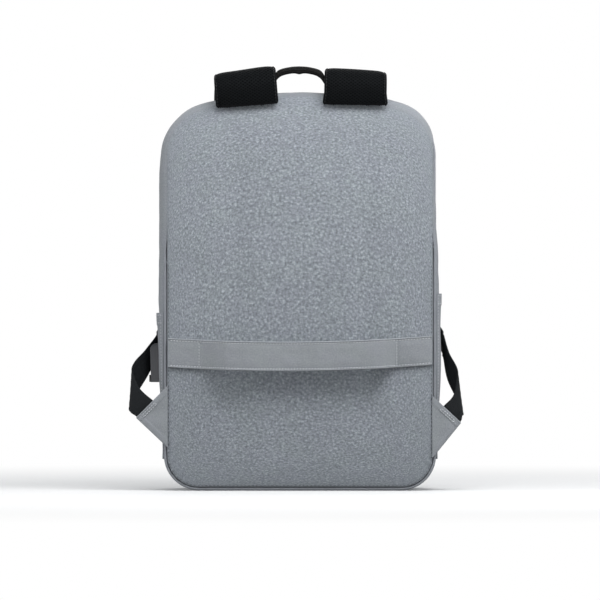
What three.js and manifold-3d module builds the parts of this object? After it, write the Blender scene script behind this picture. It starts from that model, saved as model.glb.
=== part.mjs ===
// Laptop backpack, standing on its flat base with the straps laid over the top.
// Millimetres, +Z up. The back panel faces -Y and the origin is the centre of the base on the floor.

import * as THREE from 'three';
import * as BufferGeometryUtils from 'three/addons/utils/BufferGeometryUtils.js';
import Module from 'manifold-3d';

const wasm = await Module();
wasm.setup();

// Driving dimensions of the body

const seamHalfWidth = 143.5;
const seamBottom = 4;
const seamTop = 426;
const topCornerRadius = 50;
const bottomCornerRadius = 34;
const topArchRadius = 381;
const bodyDepth = 120;
const gap = 0.4;
const clothWall = 1.6;

// The side walls swell out past the seams and sink a little in the middle of their depth

const wallBulge = 7;
const wallShoulderDepth = 13;
const wallSlump = 7;
const bulgeByHeight = [
  { height: 0.0, bulge: 0.57 },
  { height: 0.06, bulge: 0.45 },
  { height: 0.12, bulge: 0.4 },
  { height: 0.3, bulge: 0.8 },
  { height: 0.5, bulge: 1.0 },
  { height: 0.62, bulge: 1.0 },
  { height: 0.84, bulge: 0.73 },
  { height: 1.0, bulge: 0.71 },
];

// Panels

const backPadThickness = 3;
const backCrown = 7;
const frontCrown = 8;
const tubeValleyDepth = 2.2;
const tubeValleySpacing = 142;
const tubeValleyWidth = 26;
const pipingWidth = 3.2;
const pipingSides = 6;

// Zip

const zipCentreDepth = 20;
const zipWidth = 10;
const zipEndHeight = 108;
const zipCoilWidth = 5;
const zipCoilRise = 1.2;
const zipTapeThickness = 1.2;
const sliderLength = 13;
const sliderWidth = 9;
const sliderHeight = 4.6;
const pullerLength = 26;
const pullerWidth = 6;
const pullerThickness = 1.8;
const firstSliderAcross = 46;
const sliderSpacing = 20;

// Side pockets

const pocketFullness = 2.6;
const pocketBottom = 34;
const pocketHemHeight = { left: 192, right: 213 };
const pocketSeamInset = 9;
const fullnessByHeight = [
  { height: 0.0, fullness: 0.05 },
  { height: 0.2, fullness: 0.7 },
  { height: 0.5, fullness: 1.0 },
  { height: 0.75, fullness: 0.7 },
  { height: 1.0, fullness: 0.2 },
];

// Port housing

const housingBottom = 117;
const housingHeight = 42;
const housingProud = 8.4;
const housingDepth = 16;
const housingCentreDepth = -32;
const housingTopRadius = 7.5;
const housingBottomRadius = 1.6;
const housingTaper = 1;
const socketThickness = 5;
const socketWidth = 12.5;
const socketLength = 9;

// Luggage strap

const sleeveHeight = 32;
const sleeveThickness = 2.4;
const sleeveStandOff = 21;
const sleeveEndBottom = { left: 133, right: 135.5 };
const sleeveSag = 5;
const sleeveByWidth = [
  { across: -1.0, standOff: 0.0 },
  { across: -0.93, standOff: 0.0 },
  { across: -0.85, standOff: 0.0 },
  { across: -0.76, standOff: 0.02 },
  { across: -0.7, standOff: 0.3 },
  { across: -0.63, standOff: 0.74 },
  { across: -0.55, standOff: 0.97 },
  { across: -0.4, standOff: 1.0 },
  { across: -0.2, standOff: 0.97 },
  { across: 0.0, standOff: 0.95 },
  { across: 0.2, standOff: 0.97 },
  { across: 0.39, standOff: 1.0 },
  { across: 0.53, standOff: 0.97 },
  { across: 0.61, standOff: 0.74 },
  { across: 0.67, standOff: 0.3 },
  { across: 0.73, standOff: 0.02 },
  { across: 0.84, standOff: 0.0 },
  { across: 0.93, standOff: 0.0 },
  { across: 1.0, standOff: 0.0 },
];

// Shoulder straps: each runs up from its seam, over the top and down the front

const strapThickness = 10;
const strapEdgeThickness = 4.6;
const strapWidth = 69;
const strapEndOffset = 34;
const strapEndStraight = 24;
const strapEndHeight = 238;
const strapCrestHeight = 449.5;
const strapTable = {
  left: { centre: -59.2, rootHeight: 415, crestTilt: -9.5, flare: 0 },
  right: { centre: 60.0, rootHeight: 417.5, crestTilt: -4.8, flare: 0.03 },
};
const strapWidthByLength = [
  { length: 0.0, width: 0.95, thickness: 0.5 },
  { length: 0.03, width: 0.96, thickness: 0.8 },
  { length: 0.12, width: 1.0, thickness: 1.0 },
  { length: 0.7, width: 0.96, thickness: 1.0 },
  { length: 0.9, width: 0.86, thickness: 1.0 },
  { length: 0.97, width: 0.66, thickness: 0.8 },
  { length: 1.0, width: 0.48, thickness: 0.5 },
];

// Webbing, tabs and adjusters

const webbingWidth = 25;
const webbingThickness = 1.6;
const tabThickness = 2.4;
const tabTable = {
  left: { reach: 33.5, top: 114.5, point: 78.8, bottom: 45.4, fold: 23, foldHeight: 0.262 },
  right: { reach: 30.4, top: 103.7, point: 73.4, bottom: 33.5, fold: 19, foldHeight: 0.25 },
};
const webbingEmerges = 0.348;
const lockWidth = 34;
const lockLength = 27;
const lockThickness = 3.6;
const lockBar = 3.6;
const lockTurn = 32;
const loopLength = 15;
const tailLength = 30;

// Grab handle

const handleTop = 459;
const handleHalfSpan = 60;
const handleThickness = 8.4;
const handleEndThickness = 2.4;
const handleWidth = 17;
const handleDepth = -42;
const handleAside = -0.8;
const handleByWidth = [
  { across: 0.0, drop: 0.0, thickness: 1.0 },
  { across: 0.1, drop: 0.012, thickness: 0.86 },
  { across: 0.22, drop: 0.06, thickness: 0.84 },
  { across: 0.34, drop: 0.15, thickness: 0.84 },
  { across: 0.42, drop: 0.36, thickness: 0.64 },
  { across: 0.5, drop: 0.68, thickness: 0.46 },
  { across: 0.6, drop: 0.8, thickness: 0.42 },
  { across: 0.7, drop: 0.92, thickness: 0.36 },
  { across: 0.8, drop: 0.97, thickness: 0.3 },
  { across: 1.0, drop: 1.0, thickness: 0.286 },
];

// Values that follow from them

const halfDepth = bodyDepth / 2;
const pipingRadius = pipingWidth / 2;
const pipingDepth = halfDepth - 3;
const wallEdgeDepth = pipingDepth - pipingRadius - gap;
const bodyHeight = seamTop + wallBulge * bulgeByHeight.at(-1).bulge;
const sides = [
  { name: 'left', sign: -1 },
  { name: 'right', sign: 1 },
];

// Small helpers

const radians = THREE.MathUtils.degToRad;
const mix = THREE.MathUtils.lerp;

function lookUp(rows, key, at, column) {
  const last = rows.length - 1;
  if (at <= rows[0][key]) {
    return rows[0][column];
  }
  if (at >= rows[last][key]) {
    return rows[last][column];
  }
  const upper = rows.findIndex((row) => row[key] >= at);
  const before = rows[upper - 1];
  const after = rows[upper];
  const share = (at - before[key]) / (after[key] - before[key]);
  return mix(before[column], after[column], share);
}

function spread(from, to, steps) {
  return Array.from({ length: steps + 1 }, (_, step) => mix(from, to, step / steps));
}

function closedGeometry(points, triangles) {
  const geometry = new THREE.BufferGeometry();
  let volume = 0;
  for (const [a, b, c] of triangles) {
    volume += points[a].dot(new THREE.Vector3().crossVectors(points[b], points[c]));
  }
  const outward = volume > 0 ? triangles : triangles.map(([a, b, c]) => [a, c, b]);
  geometry.setAttribute('position', new THREE.Float32BufferAttribute(points.flatMap((p) => p.toArray()), 3));
  geometry.setIndex(outward.flat());
  return geometry;
}

// A wall between two matching grids of points, closed round its four edges

function wallBetween(outer, inner) {
  const rows = outer.length;
  const columns = outer[0].length;
  const points = [...outer.flat(), ...inner.flat()];
  const triangles = [];
  const outerAt = (row, column) => row * columns + column;
  const innerAt = (row, column) => rows * columns + outerAt(row, column);
  const quad = (a, b, c, d) => triangles.push([a, b, c], [a, c, d]);
  const lastRow = rows - 1;
  const lastColumn = columns - 1;
  for (let row = 0; row < lastRow; row += 1) {
    const next = row + 1;
    for (let column = 0; column < lastColumn; column += 1) {
      const beside = column + 1;
      quad(outerAt(row, column), outerAt(next, column), outerAt(next, beside), outerAt(row, beside));
      quad(innerAt(row, column), innerAt(row, beside), innerAt(next, beside), innerAt(next, column));
    }
    quad(outerAt(row, 0), innerAt(row, 0), innerAt(next, 0), outerAt(next, 0));
    quad(outerAt(row, lastColumn), outerAt(next, lastColumn), innerAt(next, lastColumn), innerAt(row, lastColumn));
  }
  for (let column = 0; column < lastColumn; column += 1) {
    const beside = column + 1;
    quad(outerAt(0, column), outerAt(0, beside), innerAt(0, beside), innerAt(0, column));
    quad(outerAt(lastRow, column), innerAt(lastRow, column), innerAt(lastRow, beside), outerAt(lastRow, beside));
  }
  return closedGeometry(points, triangles);
}

// A tube whose section is the same closed ring of points at every station of a closed loop

function ringBetween(rings) {
  const count = rings[0].length;
  const points = rings.flat();
  const triangles = [];
  rings.forEach((ring, station) => {
    const next = (station + 1) % rings.length;
    ring.forEach((_, corner) => {
      const after = (corner + 1) % count;
      const a = station * count + corner;
      const b = next * count + corner;
      const c = next * count + after;
      const d = station * count + after;
      triangles.push([a, b, c], [a, c, d]);
    });
  });
  return closedGeometry(points, triangles);
}

// A ribbon along a smooth route: the width lies along each station's own width direction

function ribbon(stations, halfWidths, halfThicknesses, edgeShare, acrossSteps) {
  const outer = [];
  const inner = [];
  stations.forEach((station, index) => {
    const outerRow = [];
    const innerRow = [];
    for (const share of spread(-1, 1, acrossSteps)) {
      const swell = mix(edgeShare, 1, Math.sqrt(1 - share * share * 0.999));
      const middle = station.point.clone().addScaledVector(station.width, share * halfWidths[index]);
      const rise = swell * halfThicknesses[index];
      outerRow.push(middle.clone().addScaledVector(station.normal, rise));
      innerRow.push(middle.clone().addScaledVector(station.normal, -rise));
    }
    outer.push(outerRow);
    inner.push(innerRow);
  });
  return wallBetween(outer, inner);
}

function mergedCorners(geometry) {
  const bare = geometry.clone();
  bare.deleteAttribute('normal');
  bare.deleteAttribute('uv');
  return BufferGeometryUtils.mergeVertices(bare);
}

// A shape that a mirrored frame has turned inside out is turned right again

function facingOut(geometry) {
  const merged = mergedCorners(geometry);
  const place = merged.attributes.position;
  const points = Array.from({ length: place.count }, (_, at) => new THREE.Vector3().fromBufferAttribute(place, at));
  const corners = Array.from(merged.index.array);
  const triangles = [];
  for (let at = 0; at < corners.length; at += 3) {
    triangles.push(corners.slice(at, at + 3));
  }
  return closedGeometry(points, triangles);
}

function solidOf(geometry) {
  const merged = mergedCorners(geometry);
  return new wasm.Manifold(new wasm.Mesh({
    numProp: 3,
    vertProperties: new Float32Array(merged.attributes.position.array),
    triVerts: new Uint32Array(merged.index.array),
  }));
}

function geometryOf(solid) {
  const mesh = solid.getMesh();
  const geometry = new THREE.BufferGeometry();
  geometry.setAttribute('position', new THREE.Float32BufferAttribute(Array.from(mesh.vertProperties), 3));
  geometry.setIndex(Array.from(mesh.triVerts));
  return geometry;
}

// Finishes

const finishes = {
  cloth: { color: 0x8b9097, roughness: 0.85, metalness: 0 },
  piping: { color: 0x969aa1, roughness: 0.8, metalness: 0 },
  strapMesh: { color: 0x15171a, roughness: 0.9, metalness: 0 },
  webbing: { color: 0x26292c, roughness: 0.75, metalness: 0 },
  plastic: { color: 0x3c3e42, roughness: 0.4, metalness: 0 },
  zip: { color: 0x1d1e20, roughness: 0.6, metalness: 0 },
  slider: { color: 0x55575a, roughness: 0.35, metalness: 0.8 },
};

const backpack = new THREE.Group();

function addPiece(name, geometry, finish) {
  const piece = new THREE.Mesh(geometry, new THREE.MeshStandardMaterial(finishes[finish]));
  piece.name = name;
  backpack.add(piece);
  return piece;
}

// The seam line of both panels: flat bottom, round corners, straight sides and an arched top.
// Each station holds its place and the direction that points out of the bag.

const topCornerCentreAcross = seamHalfWidth - topCornerRadius;
const archCentre = seamTop - topArchRadius;
const archReach = topArchRadius - topCornerRadius;
const topCornerCentre = archCentre + Math.sqrt(archReach ** 2 - topCornerCentreAcross ** 2);
const archStart = Math.atan2(topCornerCentre - archCentre, topCornerCentreAcross);
const bottomCornerCentreAcross = seamHalfWidth - bottomCornerRadius;
const bottomCornerCentre = seamBottom + bottomCornerRadius;

function arcStations(centreAcross, centreHeight, radius, from, to, steps) {
  return spread(from, to, steps).map((angle) => {
    const outAcross = Math.cos(angle);
    const outUp = Math.sin(angle);
    return { x: centreAcross + radius * outAcross, z: centreHeight + radius * outUp, outAcross, outUp };
  });
}

function sideStations(from, to, steps) {
  return spread(from, to, steps).map((z) => ({ x: seamHalfWidth, z, outAcross: 1, outUp: 0 }));
}

function mirrored(stations) {
  return stations.map((s) => ({ ...s, x: -s.x, outAcross: -s.outAcross })).reverse();
}

const rightBottomCorner = arcStations(
  bottomCornerCentreAcross, bottomCornerCentre, bottomCornerRadius, -Math.PI / 2, 0, 6);
const rightTopCorner = arcStations(topCornerCentreAcross, topCornerCentre, topCornerRadius, 0, archStart, 6);
const rightArch = arcStations(0, archCentre, topArchRadius, archStart, Math.PI / 2, 4);

function joinRuns(...runs) {
  const all = runs.flat();
  return all.filter((station, index) => {
    const before = all[index - 1];
    return !before || Math.hypot(station.x - before.x, station.z - before.z) > gap;
  });
}

function horseshoe(fromHeight) {
  const right = joinRuns(sideStations(fromHeight, topCornerCentre, 6), rightTopCorner, rightArch);
  return joinRuns(right, mirrored(right));
}

function cradle(toHeight) {
  const right = joinRuns(
    [{ x: 0, z: seamBottom, outAcross: 0, outUp: -1 }],
    rightBottomCorner,
    sideStations(bottomCornerCentre, toHeight, 4));
  return joinRuns(mirrored(right), right);
}

function wholeSeam() {
  const right = joinRuns(rightBottomCorner, sideStations(bottomCornerCentre, topCornerCentre, 5), rightTopCorner);
  const loop = joinRuns(right, rightArch, mirrored(joinRuns(right, rightArch)));
  return loop;
}

// How far the side wall stands out of the seam line at a height and a depth

function bulgeAt(z) {
  return wallBulge * lookUp(bulgeByHeight, 'height', z / bodyHeight, 'bulge');
}

function slumpAt(station, y) {
  const lowEnough = THREE.MathUtils.smoothstep(seamTop - station.z, topCornerRadius, 3 * topCornerRadius);
  const middle = Math.cos(Math.min(1, Math.abs(y) / (halfDepth - wallShoulderDepth)) * Math.PI / 2) ** 2;
  return wallSlump * lowEnough * middle * station.outAcross ** 4;
}

function wallProfile(fromY, toY, steps) {
  const shoulderAngles = [8, 30, 55, 90].map(radians);
  const rear = shoulderAngles.map((angle) => ({
    y: -wallEdgeDepth + wallShoulderDepth * (1 - Math.cos(angle)),
    share: Math.sin(angle),
  }));
  const front = rear.map((spot) => ({ y: -spot.y, share: spot.share })).reverse();
  const middleFrom = Math.max(fromY, rear.at(-1).y);
  const middleTo = Math.min(toY, front[0].y);
  const middle = spread(middleFrom, middleTo, steps).map((y) => ({ y, share: 1 }));
  const all = [...rear.filter((s) => s.y >= fromY), ...middle, ...front.filter((s) => s.y <= toY)];
  return all.filter((spot, index) => index === 0 || spot.y - all[index - 1].y > gap);
}

function wallOffset(station, spot) {
  return bulgeAt(station.z) * spot.share - slumpAt(station, spot.y);
}

// Points of one section of wall, and the same points one wall thickness further in

function sectionPoints(station, depths, offsets, wall) {
  const outer = [];
  const inner = [];
  depths.forEach((y, index) => {
    const before = Math.max(0, index - 1);
    const after = Math.min(depths.length - 1, index + 1);
    const run = new THREE.Vector2(depths[after] - depths[before], offsets[after] - offsets[before]).normalize();
    const place = (depth, offset) => new THREE.Vector3(
      station.x + station.outAcross * offset, depth, station.z + station.outUp * offset);
    outer.push(place(y, offsets[index]));
    inner.push(place(y + wall * run.y, offsets[index] - wall * run.x));
  });
  return { outer, inner };
}

function wallBand(stations, profile, wall) {
  const depths = profile.map((spot) => spot.y);
  const sections = stations.map((station) => {
    const offsets = profile.map((spot) => wallOffset(station, spot));
    return sectionPoints(station, depths, offsets, wall);
  });
  return wallBetween(sections.map((s) => s.outer), sections.map((s) => s.inner));
}

// Body walls

const zipRear = zipCentreDepth - zipWidth / 2;
const zipFront = zipCentreDepth + zipWidth / 2;
const upperRun = horseshoe(zipEndHeight + gap);

addPiece('base_gusset', wallBand(cradle(zipEndHeight), wallProfile(-halfDepth, halfDepth, 6), clothWall), 'cloth');
addPiece('rear_gusset', wallBand(upperRun, wallProfile(-halfDepth, zipRear - gap, 4), clothWall), 'cloth');
addPiece('front_gusset', wallBand(upperRun, wallProfile(zipFront + gap, halfDepth, 2), clothWall), 'cloth');

// Main zip: flat tape with a raised coil along its middle

function makeZipper() {
  const coilHalf = zipCoilWidth / 2;
  const depths = [zipRear, zipCentreDepth - coilHalf, zipCentreDepth, zipCentreDepth + coilHalf, zipFront];
  const rises = [0, 0.2 * zipCoilRise, zipCoilRise, 0.2 * zipCoilRise, 0];
  const sections = upperRun.map((station) => {
    const offsets = depths.map((y, index) => wallOffset(station, { y, share: 1 }) + rises[index] - gap);
    return sectionPoints(station, depths, offsets, zipTapeThickness);
  });
  return wallBetween(sections.map((s) => s.outer), sections.map((s) => s.inner));
}

addPiece('main_zipper', makeZipper(), 'zip');

function makeSlider(across) {
  const outwardAngle = Math.acos(across / topArchRadius);
  const coilTop = topArchRadius + bulgeAt(bodyHeight) - gap + zipCoilRise + gap;
  const centre = new THREE.Vector3(
    Math.cos(outwardAngle) * coilTop, zipCentreDepth, archCentre + Math.sin(outwardAngle) * coilTop);
  const lean = outwardAngle - Math.PI / 2;
  const body = new THREE.BoxGeometry(sliderLength, sliderWidth, sliderHeight);
  body.translate(0, 0, sliderHeight / 2);
  const puller = new THREE.BoxGeometry(pullerWidth, pullerLength, pullerThickness);
  puller.translate(0, sliderWidth / 4 - pullerLength / 2, sliderHeight + pullerThickness / 2 - gap);
  const joined = geometryOf(solidOf(body).add(solidOf(puller)));
  joined.applyMatrix4(new THREE.Matrix4().makeRotationY(-lean));
  joined.translate(centre.x, centre.y, centre.z);
  return joined;
}

sides.forEach((side, index) => {
  addPiece(`zip_slider_${side.name}`, makeSlider(firstSliderAcross + index * sliderSpacing), 'slider');
});

// Panels: a grid whose columns run from the bottom seam to the top seam

function seamLowAt(x) {
  const past = Math.max(0, Math.abs(x) - bottomCornerCentreAcross);
  const radius = bottomCornerRadius;
  return bottomCornerCentre - Math.sqrt(Math.max(0, radius ** 2 - past ** 2));
}

function seamHighAt(x) {
  const across = Math.abs(x);
  const cornerStart = topArchRadius * Math.cos(archStart);
  if (across <= cornerStart) {
    return archCentre + Math.sqrt(topArchRadius ** 2 - across ** 2);
  }
  const past = across - topCornerCentreAcross;
  return topCornerCentre + Math.sqrt(Math.max(0, topCornerRadius ** 2 - past ** 2));
}

const columnShares = [0, 0.13, 0.26, 0.36, 0.43, 0.5, 0.57, 0.64, 0.72, 0.81, 0.89, 0.95, 0.985, 1];
const rowShares = [0, 0.02, 0.07, 0.16, 0.3, 0.45, 0.6, 0.74, 0.86, 0.94, 0.98, 1];

function panelGrid(depthAt, columns) {
  const shares = [...columns.slice(1).map((s) => -s).reverse(), ...columns];
  return shares.map((share) => {
    const x = share * (seamHalfWidth - gap);
    const low = seamLowAt(x) + gap;
    const high = seamHighAt(x) - gap;
    return rowShares.map((rowShare) => {
      const z = mix(low, high, rowShare);
      return new THREE.Vector3(x, depthAt(x, z, share, rowShare), z);
    });
  });
}

function crownShare(share, rowShare) {
  const upright = 2 * rowShare - 1;
  return (1 - Math.abs(share) ** 3.2) ** 0.62 * (1 - Math.abs(upright) ** 5) ** 0.62;
}

function tubeValley(x, rowShare) {
  const away = (Math.abs(x) - tubeValleySpacing / 2) / (tubeValleyWidth / 2);
  const fade = THREE.MathUtils.smoothstep(1 - Math.abs(2 * rowShare - 1), 0.05, 0.4);
  return tubeValleyDepth * fade * Math.exp(-away * away);
}

const panelEdgeDepth = pipingDepth - pipingRadius / 2;

function crownDepth(share, rowShare) {
  return -panelEdgeDepth - backPadThickness - backCrown * crownShare(share, rowShare);
}

function backSurface(x, z, share, rowShare) {
  return crownDepth(share, rowShare) + tubeValley(x, rowShare);
}

addPiece('back_panel', wallBetween(
  panelGrid(backSurface, columnShares),
  panelGrid(() => -panelEdgeDepth, columnShares)), 'cloth');

const frontColumns = [0, 0.25, 0.5, 0.7, 0.85, 0.94, 1];

function frontSurface(x, z, share, rowShare) {
  return panelEdgeDepth + clothWall + frontCrown * crownShare(share, rowShare);
}

addPiece('front_panel', wallBetween(
  panelGrid(frontSurface, frontColumns),
  panelGrid((x, z, share, rowShare) => frontSurface(x, z, share, rowShare) - clothWall, frontColumns)), 'cloth');

function makePiping(facing) {
  const rings = wholeSeam().map((station) => spread(0, 2 * Math.PI, pipingSides).slice(0, -1).map((turn) => {
    const offset = gap + pipingRadius + pipingRadius * Math.cos(turn);
    const y = facing * (pipingDepth + pipingRadius * Math.sin(turn));
    return new THREE.Vector3(station.x + station.outAcross * offset, y, station.z + station.outUp * offset);
  }));
  return ringBetween(rings);
}

addPiece('back_piping', makePiping(-1), 'piping');
addPiece('front_piping', makePiping(1), 'piping');

// Side pockets: the wall is sewn down round three edges and stands open at its hem

function pocketOffset(station, y, rise) {
  const reach = halfDepth - pocketSeamInset;
  const share = Math.min(1, (reach - Math.abs(y)) / wallShoulderDepth);
  const round = Math.sqrt(1 - (1 - Math.max(0, share)) ** 2);
  const fullness = pocketFullness * lookUp(fullnessByHeight, 'height', rise, 'fullness');
  const edge = Math.min(1, (wallEdgeDepth - Math.abs(y)) / wallShoulderDepth);
  const wall = bulgeAt(station.z) * Math.sqrt(1 - (1 - edge) ** 2);
  return wall + 2 * gap + clothWall + fullness * round;
}

function makePocket(side) {
  const reach = halfDepth - pocketSeamInset;
  const hem = pocketHemHeight[side.name];
  const depths = [-1, -0.93, -0.84, -0.72, -0.45, 0, 0.45, 0.72, 0.84, 0.93, 1].map((share) => share * reach);
  const sections = spread(0, 1, 8).map((rise) => {
    const z = mix(pocketBottom, hem, rise);
    const station = { x: side.sign * seamHalfWidth, z, outAcross: side.sign, outUp: 0 };
    const offsets = depths.map((y) => pocketOffset(station, y, rise));
    return sectionPoints(station, depths, offsets, clothWall);
  });
  return wallBetween(sections.map((s) => s.outer), sections.map((s) => s.inner));
}

sides.forEach((side) => addPiece(`side_pocket_${side.name}`, makePocket(side), 'cloth'));

// Port housing on the left pocket, with its socket in the lower end

function makeHousing() {
  const pocketRise = (housingBottom + housingHeight / 2 - pocketBottom) / (pocketHemHeight.left - pocketBottom);
  const middle = { x: -seamHalfWidth, z: housingBottom + housingHeight / 2, outAcross: -1, outUp: 0 };
  const seat = seamHalfWidth + pocketOffset(middle, housingCentreDepth, pocketRise) + gap;
  const outline = new THREE.Shape();
  outline.moveTo(0, 0);
  outline.lineTo(housingProud - housingTaper - housingBottomRadius, 0);
  outline.quadraticCurveTo(housingProud - housingTaper, 0, housingProud - housingTaper, housingBottomRadius);
  outline.lineTo(housingProud, housingHeight - housingTopRadius);
  outline.quadraticCurveTo(housingProud, housingHeight, housingProud - housingTopRadius, housingHeight);
  outline.lineTo(0, housingHeight);
  const body = new THREE.ExtrudeGeometry(outline, { depth: housingDepth, bevelEnabled: false, curveSegments: 5 });
  const socket = new THREE.BoxGeometry(socketThickness, 2 * socketLength, socketWidth);
  socket.translate((housingProud - housingTaper) / 2, 0, housingDepth / 2);
  const geometry = geometryOf(solidOf(body).subtract(solidOf(socket)));
  geometry.rotateX(Math.PI / 2);
  geometry.rotateZ(Math.PI);
  geometry.translate(-seat, housingCentreDepth - housingDepth / 2, housingBottom);
  return geometry;
}

addPiece('usb_housing', makeHousing(), 'plastic');

// Luggage strap: lies on the panel near the seams and stands off it over the middle

function crownDepthAt(x, z) {
  const share = x / (seamHalfWidth - gap);
  const low = seamLowAt(x) + gap;
  const high = seamHighAt(x) - gap;
  return crownDepth(share, (z - low) / (high - low));
}

function makeSleeve() {
  const outer = [];
  const inner = [];
  for (const row of sleeveByWidth) {
    const x = row.across * (seamHalfWidth - 2 * gap);
    const endBottom = mix(sleeveEndBottom.left, sleeveEndBottom.right, (row.across + 1) / 2);
    const bottom = endBottom - sleeveSag * (1 - row.across ** 2);
    const outerRow = [];
    const innerRow = [];
    for (const z of spread(bottom, bottom + sleeveHeight, 2)) {
      const y = crownDepthAt(x, z) - 2 * gap - row.standOff * sleeveStandOff;
      outerRow.push(new THREE.Vector3(x, y - sleeveThickness, z));
      innerRow.push(new THREE.Vector3(x, y, z));
    }
    outer.push(outerRow);
    inner.push(innerRow);
  }
  return wallBetween(outer, inner);
}

addPiece('luggage_strap', makeSleeve(), 'cloth');

// Routes: a smooth curve through a few points, with a width direction at each station

function routeStations(points, widthHints, steps) {
  const curve = new THREE.CatmullRomCurve3(points, false, 'centripetal');
  const hints = new THREE.CatmullRomCurve3(widthHints, false, 'centripetal');
  return spread(0, 1, steps).map((share) => {
    const point = curve.getPoint(share);
    const along = curve.getTangent(share);
    const width = hints.getPoint(share).normalize();
    width.addScaledVector(along, -width.dot(along)).normalize();
    const normal = new THREE.Vector3().crossVectors(along, width).normalize();
    return { point, along, width, normal, share };
  });
}

const strapRest = panelEdgeDepth + clothWall + frontCrown + gap + strapThickness / 2;
const strapRise = panelEdgeDepth + backPadThickness + backCrown + strapThickness / 2;

// Each row gives a place on the strap's route as shares of its own sizes:
// how far it has moved out to its end, its depth, and its height between two named levels

const strapRoute = [
  { aside: 0.0, depth: -0.925, from: 'root', up: 0.0, tilt: 0.0 },
  { aside: 0.0, depth: -0.985, from: 'root', up: 0.4, tilt: 0.4 },
  { aside: 0.0, depth: -0.985, from: 'root', up: 0.72, tilt: 0.8 },
  { aside: 0.0, depth: -0.86, from: 'root', up: 0.985, tilt: 1.0 },
  { aside: 0.0, depth: -0.5, from: 'root', up: 1.02, tilt: 1.0 },
  { aside: 0.0, depth: 0.1, from: 'root', up: 0.9, tilt: 0.5 },
  { aside: 0.02, depth: 0.64, from: 'root', up: 0.78, tilt: 0.3 },
  { aside: 0.05, depth: 0.955, from: 'root', up: 0.4, tilt: 0.2 },
  { aside: 0.07, depth: 1.0, from: 'end', up: 0.8, tilt: 0.1 },
  { aside: 0.2, depth: 1.0, from: 'end', up: 0.5, tilt: 0.0 },
  { aside: 0.42, depth: 1.0, from: 'end', up: 0.27, tilt: 0.0 },
  { aside: 1.0, depth: 1.0, from: 'end', up: 0.0, tilt: 0.0 },
];

function lockAlong(side) {
  const turn = radians(lockTurn);
  return new THREE.Vector3(side.sign * Math.sin(turn), 0, -Math.cos(turn));
}

function strapStations(side) {
  const own = strapTable[side.name];
  const points = strapRoute.map((row) => {
    const x = own.centre + side.sign * strapEndOffset * row.aside;
    const y = row.depth < 0 ? row.depth * strapRise : row.depth * strapRest;
    const z = row.from === 'root'
      ? mix(own.rootHeight, strapCrestHeight, row.up)
      : mix(strapEndHeight, own.rootHeight, row.up);
    return new THREE.Vector3(x, y, z);
  });
  const slope = side.sign * own.crestTilt / strapWidth;
  const hints = strapRoute.map((row) => new THREE.Vector3(1, 0, row.tilt * slope));
  const beforeEnd = points.at(-1).clone().addScaledVector(lockAlong(side), -strapEndStraight);
  points.splice(-1, 0, beforeEnd);
  hints.push(hints.at(-1));
  return routeStations(points, hints, 32);
}

function makeStrap(side) {
  const own = strapTable[side.name];
  const stations = strapStations(side);
  const half = (column) => stations.map((s) => lookUp(strapWidthByLength, 'length', s.share, column) / 2);
  const flare = (share) => 1 + own.flare * Math.max(0, 1 - share / 0.08);
  const widths = half('width').map((value, index) => value * strapWidth * flare(stations[index].share));
  const thicknesses = half('thickness').map((value) => value * strapThickness);
  return ribbon(stations, widths, thicknesses, strapEdgeThickness / strapThickness, 6);
}

sides.forEach((side) => addPiece(`shoulder_strap_${side.name}`, makeStrap(side), 'strapMesh'));

// Adjuster at the strap's end, all in one flat plane turned outwards by lockTurn:
// lockFrame maps places along (down and out), across and off the front to the bag's own frame

function lockFrame(side) {
  const own = strapTable[side.name];
  const turn = radians(lockTurn);
  const along = lockAlong(side);
  const across = new THREE.Vector3(side.sign * Math.cos(turn), 0, Math.sin(turn));
  const off = new THREE.Vector3(0, 1, 0);
  const origin = new THREE.Vector3(own.centre + side.sign * strapEndOffset, strapRest, strapEndHeight);
  const place = (a, b, c) => origin.clone()
    .addScaledVector(along, a).addScaledVector(across, b).addScaledVector(off, c);
  return { along, across, off, origin, place };
}

const lockStart = loopLength - lockBar;

function makeLock(side) {
  const slotLength = (lockLength - 3 * lockBar) / 2;
  const slotWidth = webbingWidth + 4 * gap;
  const plate = new THREE.BoxGeometry(lockLength, lockWidth, lockThickness);
  plate.translate(lockLength / 2, 0, 0);
  let solid = solidOf(plate);
  [lockBar, 2 * lockBar + slotLength].forEach((start) => {
    const slot = new THREE.BoxGeometry(slotLength, slotWidth, 2 * lockThickness);
    slot.translate(start + slotLength / 2, 0, 0);
    solid = solid.subtract(solidOf(slot));
  });
  const frame = lockFrame(side);
  const basis = new THREE.Matrix4().makeBasis(frame.along, frame.across, frame.off);
  basis.setPosition(frame.place(lockStart, 0, 0));
  const geometry = geometryOf(solid);
  geometry.applyMatrix4(basis);
  return facingOut(geometry);
}

// Webbing bent round a bar, seen along the bar: towards the bar on the near face and back on the far one.
// The opening side is +1 where the webbing's runs lie further along than the bar, -1 where they lie before it.

const barClearance = Math.hypot(lockBar, lockThickness) / 2 + 1.5 * gap + webbingThickness / 2;

function hairpin(frame, barAlong, openingSide, runStart, runEnd) {
  const bend = [75, 45, 15, -15, -45, -75].map((angle) => {
    const turn = radians(angle);
    return [barAlong - openingSide * barClearance * Math.cos(turn), barClearance * Math.sin(turn)];
  });
  const rows = [[runStart, barClearance], ...bend, [runEnd, -barClearance]];
  return rows.map(([along, off]) => frame.place(along, 0, off));
}

function flatStations(points, across) {
  return points.map((point, index) => {
    const before = points[Math.max(0, index - 1)];
    const after = points[Math.min(points.length - 1, index + 1)];
    const along = after.clone().sub(before).normalize();
    const normal = new THREE.Vector3().crossVectors(along, across).normalize();
    return { point, along, width: across, normal };
  });
}

function webbingRibbon(stations) {
  const widths = stations.map(() => webbingWidth / 2);
  const thicknesses = stations.map(() => webbingThickness / 2);
  return ribbon(stations, widths, thicknesses, 1, 2);
}

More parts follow.
